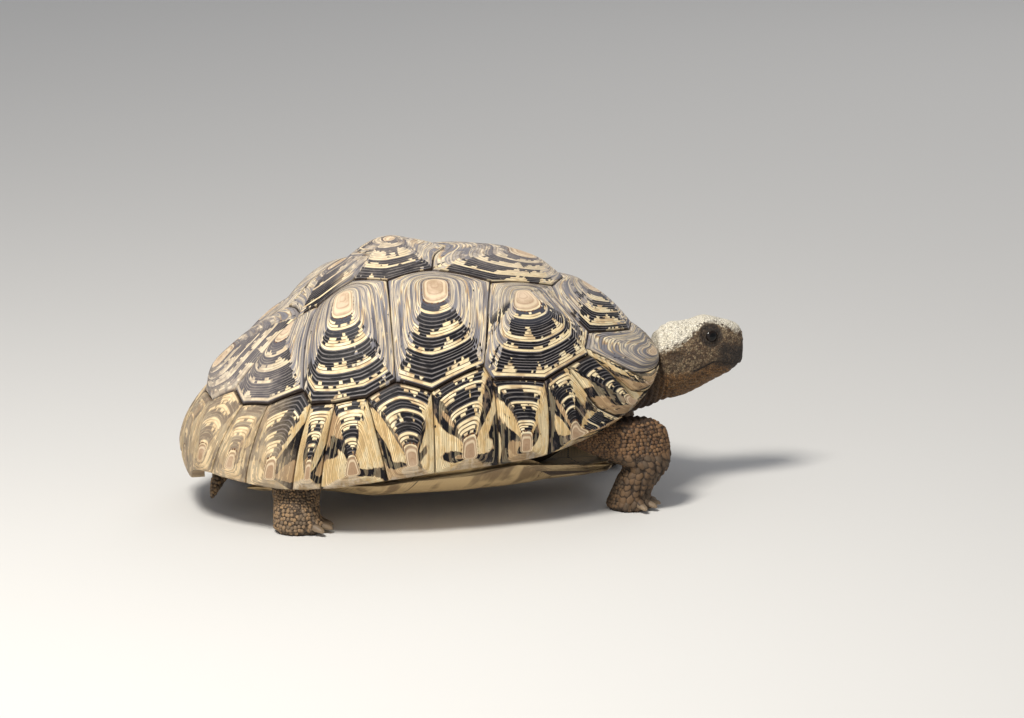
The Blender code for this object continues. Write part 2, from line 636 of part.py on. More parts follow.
def tail_rings(grow=0.0, sides=10):
    rings = []
    centres = [Vector(centre) for centre, _ in TAIL_SECTIONS]
    for i, (centre, radius) in enumerate(TAIL_SECTIONS):
        centre = Vector(centre)
        ahead = centres[min(i + 1, len(centres) - 1)] - centres[max(i - 1, 0)]
        turn = Vector((0, 0, 1)).rotation_difference(ahead.normalized())
        rings.append([
            centre + turn @ Vector((
                (radius + grow) * math.cos(2 * math.pi * k / sides),
                (radius + grow) * math.sin(2 * math.pi * k / sides), 0,
            )) for k in range(sides)
        ])
    return rings


def make_tail():
    tail = make_part("tail", Shape().loft(tail_rings()), "scaly_skin",
                     Vector(TAIL_SECTIONS[0][0]))
    return tail


# ------------------------------------------------------------------ sockets
def grown_copy(part, name, grow):
    """A cutter a little fatter than a part, for the socket it sits in."""
    shape = Shape()
    shape.bm.from_mesh(part.data)
    bmesh.ops.translate(shape.bm, verts=shape.bm.verts, vec=part.location)
    shape.bm.normal_update()
    for vert, normal in [(v, v.normal.copy()) for v in shape.bm.verts]:
        vert.co += normal * grow
    return make_cutter(name, shape)


def clear_scene():
    for thing in list(bpy.data.objects):
        bpy.data.objects.remove(thing, do_unlink=True)


def main():
    clear_scene()
    for name in ("tortoise", "tortoise_cutters"):
        bpy.context.scene.collection.children.link(bpy.data.collections.new(name))
    for name, (colour, roughness) in FINISHES.items():
        make_material(name, colour, roughness)
    root = bpy.data.objects.new("tortoise_root", None)
    root.location = (-ORIGIN_X, 0, 0)
    bpy.data.collections["tortoise"].objects.link(root)

    make_carapace()
    make_plastron()
    trunk = make_trunk()
    make_head()
    limbs = [make_neck(), make_tail()]
    for side_name in ("right", "left"):
        limbs.append(make_leg("front", side_name, FRONT_LEG, FRONT_CLAWS))
        limbs.append(make_leg("hind", side_name, HIND_LEG, HIND_CLAWS))
    for limb in limbs:
        cut(trunk, grown_copy(limb, f"{limb.name}_socket", 2 * GAP))


main()
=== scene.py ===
"""Looks of a life-size leopard tortoise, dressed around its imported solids.

Metres, +Z up, the floor at z = 0. The animal looks along +X and its left side is +Y. Each
sub-assembly is a class: the carapace's horny plates, the belly plate, the skin with its
scales and claws, the eyes, and the room it stands in.
"""

import logging
import math
from dataclasses import dataclass, field
from enum import Enum
from typing import Callable, Optional, Union

import bmesh
import bpy
import numpy as np
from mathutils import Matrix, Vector, noise
from mathutils.bvhtree import BVHTree


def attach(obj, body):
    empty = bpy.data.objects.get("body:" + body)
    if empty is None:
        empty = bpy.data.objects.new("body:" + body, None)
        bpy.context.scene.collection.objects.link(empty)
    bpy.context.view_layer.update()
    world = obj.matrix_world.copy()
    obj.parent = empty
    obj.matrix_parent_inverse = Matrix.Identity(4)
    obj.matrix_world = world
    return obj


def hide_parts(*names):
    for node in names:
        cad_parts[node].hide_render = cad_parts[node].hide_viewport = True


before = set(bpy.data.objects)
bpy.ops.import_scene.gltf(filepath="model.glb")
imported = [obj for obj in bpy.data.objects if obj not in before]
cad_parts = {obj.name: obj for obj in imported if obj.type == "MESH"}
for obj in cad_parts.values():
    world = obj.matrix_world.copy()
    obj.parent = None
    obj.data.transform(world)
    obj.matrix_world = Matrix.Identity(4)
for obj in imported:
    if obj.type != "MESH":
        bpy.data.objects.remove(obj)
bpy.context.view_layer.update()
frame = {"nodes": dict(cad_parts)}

LOG = logging.getLogger("tortoise")
BODY = "root"
WELD = 1e-6
Array = np.ndarray
Colour = tuple[float, float, float]


# ---------------------------------------------------------------- shader writing
class Signal:
    """A shader value that takes part in ordinary arithmetic."""

    def __init__(self, graph: "Graph", socket: bpy.types.NodeSocket) -> None:
        """Holds one output socket of a graph's node."""
        self.graph = graph
        self.socket = socket

    def math(self, operation: str, *others: "Value") -> "Signal":
        """This value and others through one Math node."""
        return self.graph.math(operation, self, *others)

    def __add__(self, other: "Value") -> "Signal":
        """Sum."""
        return self.math("ADD", other)

    def __sub__(self, other: "Value") -> "Signal":
        """Difference."""
        return self.math("SUBTRACT", other)

    def __rsub__(self, other: "Value") -> "Signal":
        """A number less this value."""
        return self.graph.math("SUBTRACT", other, self)

    def __mul__(self, other: "Value") -> "Signal":
        """Product."""
        return self.math("MULTIPLY", other)

    def __truediv__(self, other: "Value") -> "Signal":
        """Quotient."""
        return self.math("DIVIDE", other)

    def __rtruediv__(self, other: "Value") -> "Signal":
        """A number over this value."""
        return self.graph.math("DIVIDE", other, self)

    __radd__ = __add__
    __rmul__ = __mul__

    def step(self, low: float, high: float) -> "Signal":
        """0 below low, 1 above high and a soft S between; a falling S if high is the smaller.

        Args:
            low: Where the S starts.
            high: Where it ends.

        Returns:
            The share, 0 to 1.
        """
        node = self.graph.add(
            "ShaderNodeMapRange", {"interpolation_type": "SMOOTHSTEP", "clamp": True},
            {"Value": self, "From Min": min(low, high), "From Max": max(low, high),
             "To Min": float(low > high), "To Max": float(low < high)})
        return Signal(self.graph, node.outputs["Result"])

    def floor(self) -> "Signal":
        """The whole number below."""
        return self.math("FLOOR")

    def rest(self) -> "Signal":
        """What is left above the whole number below."""
        return self.math("FRACT")


Value = Union[Signal, float, int]


class Graph:
    """The node tree of one material, ending in one Principled shader."""

    def __init__(self, name: str) -> None:
        """Makes the material and its output.

        Args:
            name: The material's name.
        """
        self.material = bpy.data.materials.new(name)
        self.material.use_nodes = True
        self.tree = self.material.node_tree
        self.shader = self.tree.nodes["Principled BSDF"]

    def add(self, kind: str, settings: Optional[dict] = None,
            values: Optional[dict] = None) -> bpy.types.Node:
        """Adds a node.

        Args:
            kind: The node's type.
            settings: Its properties, set first; "stops" holds a ramp's (place, colour) pairs.
            values: Values or Signals for its inputs, by name or number.

        Returns:
            The node.
        """
        node = self.tree.nodes.new(kind)
        for name, value in (settings or {}).items():
            if name == "stops":
                for _ in value[2:]:
                    node.color_ramp.elements.new(1.0)
                for element, (place, colour) in zip(node.color_ramp.elements, value):
                    element.position = place
                    element.color = (*colour, 1.0)
            else:
                setattr(node, name, value)
        for name, value in (values or {}).items():
            self.feed(node.inputs[name], value)
        return node

    def feed(self, socket: bpy.types.NodeSocket, value: object) -> None:
        """Links a Signal to an input, or sets the input's own value.

        Args:
            socket: The input.
            value: A Signal, a number, a colour or a vector.
        """
        if isinstance(value, Signal):
            self.tree.links.new(value.socket, socket)
        elif socket.type == "RGBA" and len(value) == 3:
            socket.default_value = (*value, 1.0)
        else:
            socket.default_value = value

    def math(self, operation: str, *values: Value) -> Signal:
        """One Math node over the values."""
        node = self.add("ShaderNodeMath", {"operation": operation}, dict(enumerate(values)))
        return Signal(self, node.outputs[0])

    def mix(self, factor: Value, first: object, second: object) -> Signal:
        """A colour between two, by the factor."""
        node = self.add("ShaderNodeMix", {"data_type": "RGBA"}, {0: factor, 6: first, 7: second})
        return Signal(self, node.outputs[2])

    def ramp(self, value: Signal, stops: list[tuple[float, Colour]]) -> Signal:
        """A colour read off a ramp."""
        node = self.add("ShaderNodeValToRGB", {"stops": stops}, {"Fac": value})
        return Signal(self, node.outputs["Color"])

    def place(self) -> Signal:
        """The Object coordinates."""
        return Signal(self, self.add("ShaderNodeTexCoord").outputs["Object"])

    def attribute(self, name: str) -> Signal:
        """A vector attribute of the mesh."""
        node = self.add("ShaderNodeAttribute", {"attribute_name": name})
        return Signal(self, node.outputs["Vector"])

    def split(self, vector: Signal) -> tuple[Signal, Signal, Signal]:
        """The three numbers of a vector."""
        node = self.add("ShaderNodeSeparateXYZ", {}, {0: vector})
        return tuple(Signal(self, output) for output in node.outputs)

    def join(self, x: Value, y: Value, z: Value) -> Signal:
        """A vector of three numbers."""
        node = self.add("ShaderNodeCombineXYZ", {}, {0: x, 1: y, 2: z})
        return Signal(self, node.outputs[0])

    def vectors(self, operation: str, first: Signal, second: object) -> Signal:
        """One Vector Math node over two vectors."""
        node = self.add("ShaderNodeVectorMath", {"operation": operation}, {0: first, 1: second})
        return Signal(self, node.outputs[0])

    def stretched(self, vector: Signal, scale: tuple[float, float, float]) -> Signal:
        """The vector, scaled along its axes."""
        return self.vectors("MULTIPLY", vector, scale)

    def noise(self, vector: Signal, scale: float, detail: float = 2.0,
              roughness: float = 0.5) -> Signal:
        """Soft noise, about 0 to 1.

        Args:
            vector: Where to read it.
            scale: Waves to a unit.
            detail: How many finer layers.
            roughness: How strong those are.

        Returns:
            The noise.
        """
        node = self.add("ShaderNodeTexNoise", {},
                        {"Vector": vector, "Scale": scale, "Detail": detail,
                         "Roughness": roughness})
        return Signal(self, node.outputs["Fac"])

    def cells(self, vector: Signal, scale: float) -> Signal:
        """Distances to the nearest edge in a pattern of cells.

        Args:
            vector: Where to read it.
            scale: Cells to a unit.

        Returns:
            The distances.
        """
        node = self.add("ShaderNodeTexVoronoi", {"feature": "DISTANCE_TO_EDGE"},
                        {"Vector": vector, "Scale": scale})
        return Signal(self, node.outputs["Distance"])

    def cell_tone(self, vector: Signal, scale: float) -> Signal:
        """A random tone, 0 to 1, for each cell of the pattern that cells() measures."""
        node = self.add("ShaderNodeTexVoronoi", {}, {"Vector": vector, "Scale": scale})
        return self.split(Signal(self, node.outputs["Color"]))[0]

    def bump(self, height: Signal, depth: float, below: Optional[Signal] = None) -> Signal:
        """A normal raised by a height of up to depth metres.

        Args:
            height: The height, 0 to 1.
            depth: What a height of 1 stands for, in metres.
            below: The normal of a coarser bump.

        Returns:
            The normal.
        """
        values = {"Height": height, "Distance": depth, "Strength": 1.0}
        if below:
            values["Normal"] = below
        return Signal(self, self.add("ShaderNodeBump", {}, values).outputs["Normal"])

    def surface(self, **sockets: object) -> bpy.types.Material:
        """Feeds the Principled shader, its socket names with _ for a space.

        Args:
            sockets: Values or Signals by socket.

        Returns:
            The finished material.
        """
        for name, value in sockets.items():
            self.feed(self.shader.inputs[name.replace("_", " ")], value)
        return self.material


# ---------------------------------------------------------------- meshes
def smooth_step(value: Array) -> Array:
    """0 below 0, 1 above 1 and a soft S between, for arrays and numbers."""
    value = np.clip(value, 0.0, 1.0)
    return value * value * (3 - 2 * value)


def between(value: Array, low: float, high: float) -> Array:
    """A soft S from low to high; falling if high is the smaller."""
    return smooth_step((np.asarray(value, float) - low) / (high - low))


def hill(value: Array, centre: float, width: float) -> Array:
    """A bell of height 1 about a centre."""
    return np.exp(-(((np.asarray(value, float) - centre) / width) ** 2))


def along(stops: tuple, place: Array) -> Array:
    """A smooth curve through (place, value) stops, for an array of places.

    Args:
        stops: The (place, value) stops, by rising place.
        place: Where to read the curve.

    Returns:
        The values there.
    """
    places = np.array([stop[0] for stop in stops], float)
    values = np.array([stop[1] for stop in stops], float)
    gaps = np.diff(places)
    rises = np.diff(values) / gaps
    slopes = np.zeros(len(stops))
    slopes[1:-1] = (rises[:-1] * gaps[1:] + rises[1:] * gaps[:-1]) / (gaps[1:] + gaps[:-1])
    place = np.clip(np.asarray(place, float), places[0], places[-1])
    i = np.clip(np.searchsorted(places, place, side="right") - 1, 0, len(gaps) - 1)
    t = (place - places[i]) / gaps[i]
    return ((2 * t**3 - 3 * t**2 + 1) * values[i] + (t**3 - 2 * t**2 + t) * gaps[i] * slopes[i]
            + (3 * t**2 - 2 * t**3) * values[i + 1] + (t**3 - t**2) * gaps[i] * slopes[i + 1])


def read_off(table: Array, column: int, share: Array) -> Array:
    """One column of a table as a smooth curve over the share of its rows."""
    return along(np.stack([np.linspace(0, 1, len(table)), table[:, column]], 1), share)


def unit(vectors: Array) -> Array:
    """The vectors, one long."""
    return vectors / np.maximum(np.linalg.norm(vectors, axis=-1, keepdims=True), 1e-12)


def grid_mesh(across: int, along_steps: int) -> tuple[bmesh.types.BMesh, Array]:
    """A flat grid to be shaped.

    Args:
        across: Faces along its first side.
        along_steps: Faces along its second side.

    Returns:
        The grid and each vertex's (first, second) share, 0 to 1.
    """
    mesh = bmesh.new()
    bmesh.ops.create_grid(mesh, x_segments=across, y_segments=along_steps, size=0.5)
    shares = np.array([(v.co.x + 0.5, v.co.y + 0.5) for v in mesh.verts])
    return mesh, shares


def place_verts(mesh: bmesh.types.BMesh, places: Array) -> None:
    """Moves the vertices to the places, in order."""
    for vert, point in zip(mesh.verts, places):
        vert.co = point


def face_out(mesh: bmesh.types.BMesh) -> None:
    """Turns every face of a closed mesh outwards.

    Args:
        mesh: The closed mesh.
    """
    bmesh.ops.recalc_face_normals(mesh, faces=mesh.faces)
    if mesh.calc_volume(signed=True) < 0:
        bmesh.ops.reverse_faces(mesh, faces=mesh.faces)


def close_tube(mesh: bmesh.types.BMesh) -> None:
    """Sews up a grid that is rolled into a tube, fills its ends and turns its faces outwards.

    Args:
        mesh: The rolled grid.
    """
    bmesh.ops.remove_doubles(mesh, verts=mesh.verts, dist=WELD)
    bmesh.ops.holes_fill(mesh, edges=[edge for edge in mesh.edges if edge.is_boundary])
    face_out(mesh)


def settled(name: str, mesh: bmesh.types.BMesh) -> bpy.types.Mesh:
    """Mesh data made of a mesh, which is freed.

    Args:
        name: The data's name.
        mesh: The mesh.

    Returns:
        The data.
    """
    data = bpy.data.meshes.new(name)
    mesh.to_mesh(data)
    mesh.free()
    return data


def added(name: str, data: bpy.types.ID) -> bpy.types.Object:
    """A new object in the scene.

    Args:
        name: The object's name.
        data: Its mesh, lamp or lens.

    Returns:
        The object.
    """
    thing = bpy.data.objects.new(name, data)
    bpy.context.scene.collection.objects.link(thing)
    return thing


def absorb(target: bmesh.types.BMesh, mesh: bmesh.types.BMesh) -> None:
    """Copies a mesh into the target and frees it.

    Args:
        target: The mesh that grows.
        mesh: The mesh that goes into it.
    """
    data = settled("part", mesh)
    target.from_mesh(data)
    bpy.data.meshes.remove(data)


def label_verts(mesh: bmesh.types.BMesh, labels: dict[str, Array]) -> None:
    """Keeps vectors on the vertices, in order, for the materials to read.

    Args:
        mesh: The mesh.
        labels: The vectors by their attribute's name.
    """
    for name, values in labels.items():
        layer = mesh.verts.layers.float_vector.new(name)
        for vert, value in zip(mesh.verts, values):
            vert[layer] = value


def finished(name: str, mesh: bmesh.types.BMesh, material: bpy.types.Material,
             replaced: tuple = (), attributes: Optional[dict[str, Array]] = None,
             sharp: float = 40) -> bpy.types.Object:
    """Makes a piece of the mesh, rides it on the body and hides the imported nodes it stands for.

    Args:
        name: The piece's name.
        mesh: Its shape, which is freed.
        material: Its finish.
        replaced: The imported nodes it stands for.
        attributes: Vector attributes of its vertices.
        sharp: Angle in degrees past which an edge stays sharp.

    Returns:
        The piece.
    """
    data = settled(name, mesh)
    data.shade_smooth()
    data.set_sharp_from_angle(angle=math.radians(sharp))
    for label, values in (attributes or {}).items():
        layer = data.attributes.new(label, "FLOAT_VECTOR", "POINT")
        layer.data.foreach_set("vector", np.asarray(values, np.float32).ravel())
    data.materials.append(material)
    piece = added(name, data)
    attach(piece, BODY)
    if replaced:
        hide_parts(*replaced)
    return piece


# ---------------------------------------------------------------- carapace
@dataclass(frozen=True)
class Swell:
    """A local change of the shell's edge: the neck notch or the tail shield."""

    bearing: float
    spread: float
    rise: float
    pull: float
    start: float

    def strength(self, bearing: Array, reach: Array) -> Array:
        """How strongly it acts at each place."""
        near = np.exp(-(((bearing - self.bearing) / self.spread) ** 2))
        return near * smooth_step((reach - self.start) / (1 - self.start))


@dataclass
class Dome:
    """The bare dome of the shell over its unit map, where reach 1 is the rim."""

    shift_x: float = -0.0389
    apex_x: float = -0.019
    top: float = 0.2255
    front_x: float = 0.2125
    rear_x: float = -0.219
    half_width: float = 0.143
    front_curve: tuple[float, float] = (2.32, 1.04)
    side_curve: tuple[float, float] = (1.95, 1.95)
    rear_curve: tuple[float, float] = (1.14, 1.53)
    end_blend: float = 2.3
    rim_heights: tuple = (
        (0, 0.125), (12, 0.119), (25, 0.102), (39, 0.0857), (63, 0.064), (90, 0.056),
        (101, 0.051), (118, 0.043), (126, 0.041), (141, 0.043), (154, 0.046), (180, 0.048))
    neck_notch: Swell = Swell(0, 7, 0.013, 0.05, 0.68)
    tail_shield: Swell = Swell(180, 12, -0.020, 0.06, 0.80)
    plate: float = 0.006
    lip: float = 0.012
    lip_drop: float = 0.5

    def points(self, places: Array) -> Array:
        """Points of the dome over places of the map, in the row's frame.

        Args:
            places: Places on the map.

        Returns:
            The points.
        """
        reach = np.minimum(np.linalg.norm(places, axis=-1), 1.0)
        angle = np.arctan2(np.abs(places[..., 1]), places[..., 0])
        bearing = np.degrees(angle)
        front = places[..., 0] > 0
        share = np.abs(np.cos(angle)) ** self.end_blend
        ends = [np.where(front, f, r) for f, r in zip(self.front_curve, self.rear_curve)]
        outward, upward = (s + (e - s) * share for s, e in zip(self.side_curve, ends))
        across = np.sin(reach * math.pi / 2) ** (2 / outward)
        height = np.maximum(np.cos(reach * math.pi / 2), 0.0) ** (2 / upward)
        notch = self.neck_notch.strength(bearing, reach)
        shield = self.tail_shield.strength(bearing, reach)
        across = across * (1 - self.neck_notch.pull * notch - self.tail_shield.pull * shield)
        end_x = np.where(front, self.front_x, self.rear_x)
        rim = along(self.rim_heights, bearing)
        return np.stack([
            self.apex_x + np.abs(end_x - self.apex_x) * np.cos(angle) * across + self.shift_x,
            np.copysign(self.half_width * np.sin(angle) * across, places[..., 1]),
            rim + (self.top - rim) * height + self.neck_notch.rise * notch
            + self.tail_shield.rise * shield], axis=-1)

    def normals(self, places: Array) -> Array:
        """Outward directions over the places, read just inside the rim.

        Args:
            places: Places on the map.

        Returns:
            Directions one long.
        """
        step = 0.004
        reach = np.linalg.norm(places, axis=-1, keepdims=True)
        places = np.where(reach > 1 - 2 * step, places / np.maximum(reach, 1e-9) * (1 - 2 * step),
                          places)
        first, second = np.array([step, 0.0]), np.array([0.0, step])
        along_x = self.points(places + first) - self.points(places - first)
        along_y = self.points(places + second) - self.points(places - second)
        return unit(np.cross(along_x, along_y))

    def under(self, places: Array, thickness: float, lip: float) -> Array:
        """Points under the places: straight in, or towards the middle near the rim.

        Args:
            places: Places on the map.
            thickness: How far in, inside the rim.
            lip: How far in at the rim.

        Returns:
            The points.
        """
        edge = smooth_step((np.linalg.norm(places, axis=-1, keepdims=True) - 0.8) / 0.2)
        points = self.points(places)
        level = np.stack([self.apex_x + self.shift_x - points[..., 0], -points[..., 1],
                          np.zeros(points.shape[:-1])], axis=-1)
        level = unit(level)
        level[..., 2] = self.lip_drop * np.minimum(level[..., 0], 0.0)
        inward = -self.normals(places) * (1 - edge) + level * edge
        return points + inward * (thickness + (lip - thickness) * edge)


def on_map(bearing: float, reach: float) -> Array:
    """A place on the dome's map; the right side has a negative second number."""
    angle = math.radians(bearing)
    return np.array([reach * math.cos(angle), -reach * math.sin(angle)])


class Side(Enum):
    """Which side of the midline a piece is on; its value is the sign of y there."""

    MIDDLE = 0
    RIGHT = -1
    LEFT = 1

    @property
    def word(self) -> str:
        """The side's word in the names of pieces."""
        return self.name.lower()

    @property
    def mirror(self) -> Array:
        """What turns points built for the right side into this side's."""
        return np.array([1, -1 if self is Side.LEFT else 1, 1])


PAIR = (Side.RIGHT, Side.LEFT)


@dataclass(frozen=True)
class PlateKind:
    """How a kind of horny plate is grown."""

    rings: int
    step: float
    wear: float
    edge_plate: bool = False


VERTEBRAL = PlateKind(rings=22, step=0.0021, wear=0.85)
COSTAL = PlateKind(rings=26, step=0.0021, wear=0.45)
MARGINAL = PlateKind(rings=17, step=0.0019, wear=0.15, edge_plate=True)
NAPE = PlateKind(rings=24, step=0.0019, wear=0.60)


@dataclass(frozen=True)
class Plate:
    """One horny plate: its corners on the map, its areola's centre and its hump."""

    name: str
    kind: PlateKind
    corners: str
    centre: tuple[float, float]
    height: float
    paired: bool = True


PLATES = (
    Plate("vertebral_1", VERTEBRAL, "v1_v2_mid v1_v2 v1_c1_low v1_c1_high v1_c1_m1 nape_side nape",
          (0, 0.47), 0.0050, False),
    Plate("vertebral_2", VERTEBRAL, "v1_v2_mid v1_v2 v2_c1_c2 v2_v3 v2_v3_mid", (0, 0.28),
          0.0070, False),
    Plate("vertebral_3", VERTEBRAL, "v2_v3_mid v2_v3 v3_c2_c3 v3_v4 v3_v4_mid", (180, 0.05),
          0.0095, False),
    Plate("vertebral_4", VERTEBRAL, "v3_v4_mid v3_v4 v4_c3_c4 v4_v5 v4_v5_mid", (180, 0.29),
          0.0140, False),
    Plate("vertebral_5", VERTEBRAL, "v4_v5_mid v4_v5 v5_c4 v5_c4_m12 v5_m12 v5_tail",
          (180, 0.66), 0.0130, False),
    Plate("supracaudal", MARGINAL, "v5_tail v5_m12 rim_12 rim_rear", (180, 0.94), 0.0030, False),
    Plate("costal_1", COSTAL, "v1_v2 v2_c1_c2 c1_c2 c1_m5_m6 c1_m4_m5 c1_m3_m4 c1_m2_m3 "
          "c1_m1_m2 v1_c1_m1 v1_c1_high v1_c1_low", (49, 0.405), 0.0050),
    Plate("costal_2", COSTAL, "v2_c1_c2 v2_v3 v3_c2_c3 c2_c3 c2_m6_m7 c1_c2", (82, 0.325), 0.0050),
    Plate("costal_3", COSTAL, "v3_c2_c3 v3_v4 v4_c3_c4 c3_c4 c3_m9_m10 c3_m8_m9 c3_m7_m8 c2_c3",
          (126.7, 0.371), 0.0060),
    Plate("costal_4", COSTAL, "v4_c3_c4 v4_v5 v5_c4 v5_c4_m12 c4_m11_m12 c4_m10_m11 c3_c4",
          (153.7, 0.489), 0.0035),
    Plate("marginal_1", NAPE, "nape nape_side v1_c1_m1 c1_m1_m2 m1_m2_a m1_m2_b rim_1 rim_front",
          (12, 0.85), 0.0020),
    Plate("marginal_2", MARGINAL, "c1_m1_m2 m1_m2_a m1_m2_b rim_1 rim_2 m2_m3_b m2_m3_a c1_m2_m3",
          (24, 0.94), 0.0020),
    Plate("marginal_3", MARGINAL, "c1_m2_m3 m2_m3_a m2_m3_b rim_2 rim_3 m3_m4_b m3_m4_a c1_m3_m4",
          (35, 0.93), 0.0030),
    Plate("marginal_4", MARGINAL, "c1_m3_m4 m3_m4_a m3_m4_b rim_3 rim_4 c1_m4_m5", (56, 0.95),
          0.0030),
    Plate("marginal_5", MARGINAL, "c1_m4_m5 rim_4 rim_5 c1_m5_m6", (69, 0.95), 0.0030),
    Plate("marginal_6", MARGINAL, "c1_m5_m6 rim_5 rim_6 c2_m6_m7 c1_c2", (82, 0.95), 0.0030),
    Plate("marginal_7", MARGINAL, "c2_m6_m7 rim_6 rim_7 c3_m7_m8 c2_c3", (95, 0.95), 0.0030),
    Plate("marginal_8", MARGINAL, "c3_m7_m8 rim_7 rim_8 c3_m8_m9", (110, 0.95), 0.0030),
    Plate("marginal_9", MARGINAL, "c3_m8_m9 rim_8 rim_9 c3_m9_m10", (121.8, 0.95), 0.0030),
    Plate("marginal_10", MARGINAL, "c3_m9_m10 rim_9 rim_10 c4_m10_m11 c3_c4", (132.5, 0.95),
          0.0030),
    Plate("marginal_11", MARGINAL, "c4_m10_m11 rim_10 rim_11 c4_m11_m12", (146, 0.93), 0.0030),
    Plate("marginal_12", MARGINAL, "c4_m11_m12 rim_11 rim_12 v5_m12 v5_c4_m12", (159, 0.93),
          0.0030),
)

CORNERS: dict[str, tuple[float, float]] = {
    "nape": (0, 0.685), "nape_side": (12.7, 0.668),
    "v1_v2_mid": (0, 0.400), "v1_v2": (23.2, 0.383), "v1_c1_low": (31.1, 0.435),
    "v1_c1_high": (34.1, 0.503), "v1_c1_m1": (34.6, 0.583),
    "v2_c1_c2": (53.0, 0.321), "v2_v3": (76.4, 0.230), "v2_v3_mid": (0, 0.080),
    "v3_c2_c3": (106.2, 0.279), "v3_v4": (133.6, 0.283), "v3_v4_mid": (180, 0.180),
    "v4_c3_c4": (147.8, 0.404), "v4_v5": (161.1, 0.458), "v4_v5_mid": (180, 0.445),
    "v5_c4": (159.5, 0.590), "v5_c4_m12": (159.8, 0.695), "v5_m12": (171.8, 0.744),
    "v5_tail": (180, 0.740),
    "c4_m11_m12": (150.1, 0.733), "c4_m10_m11": (138.9, 0.725), "c3_c4": (127.4, 0.679),
    "c3_m9_m10": (123.7, 0.723), "c3_m8_m9": (116.3, 0.725), "c3_m7_m8": (107.3, 0.720),
    "c2_c3": (99.3, 0.679), "c2_m6_m7": (89.5, 0.726), "c1_c2": (75.3, 0.655),
    "c1_m5_m6": (74.1, 0.702), "c1_m4_m5": (60.2, 0.722), "c1_m3_m4": (51.7, 0.687),
    "c1_m2_m3": (41.6, 0.660), "c1_m1_m2": (41.2, 0.636),
    "m1_m2_a": (34.6, 0.708), "m1_m2_b": (29.0, 0.793), "m2_m3_a": (38.0, 0.739),
    "m2_m3_b": (33.5, 0.862), "m3_m4_a": (49.0, 0.806), "m3_m4_b": (47.0, 0.867),
    "rim_front": (0, 1), "rim_1": (12, 1), "rim_2": (25, 1), "rim_3": (39, 1),
    "rim_4": (63.2, 1), "rim_5": (75.4, 1), "rim_6": (89.5, 1), "rim_7": (101.2, 1),
    "rim_8": (118.4, 1), "rim_9": (126.2, 1), "rim_10": (140.6, 1), "rim_11": (154.3, 1),
    "rim_12": (166.2, 1), "rim_rear": (180, 1),
}


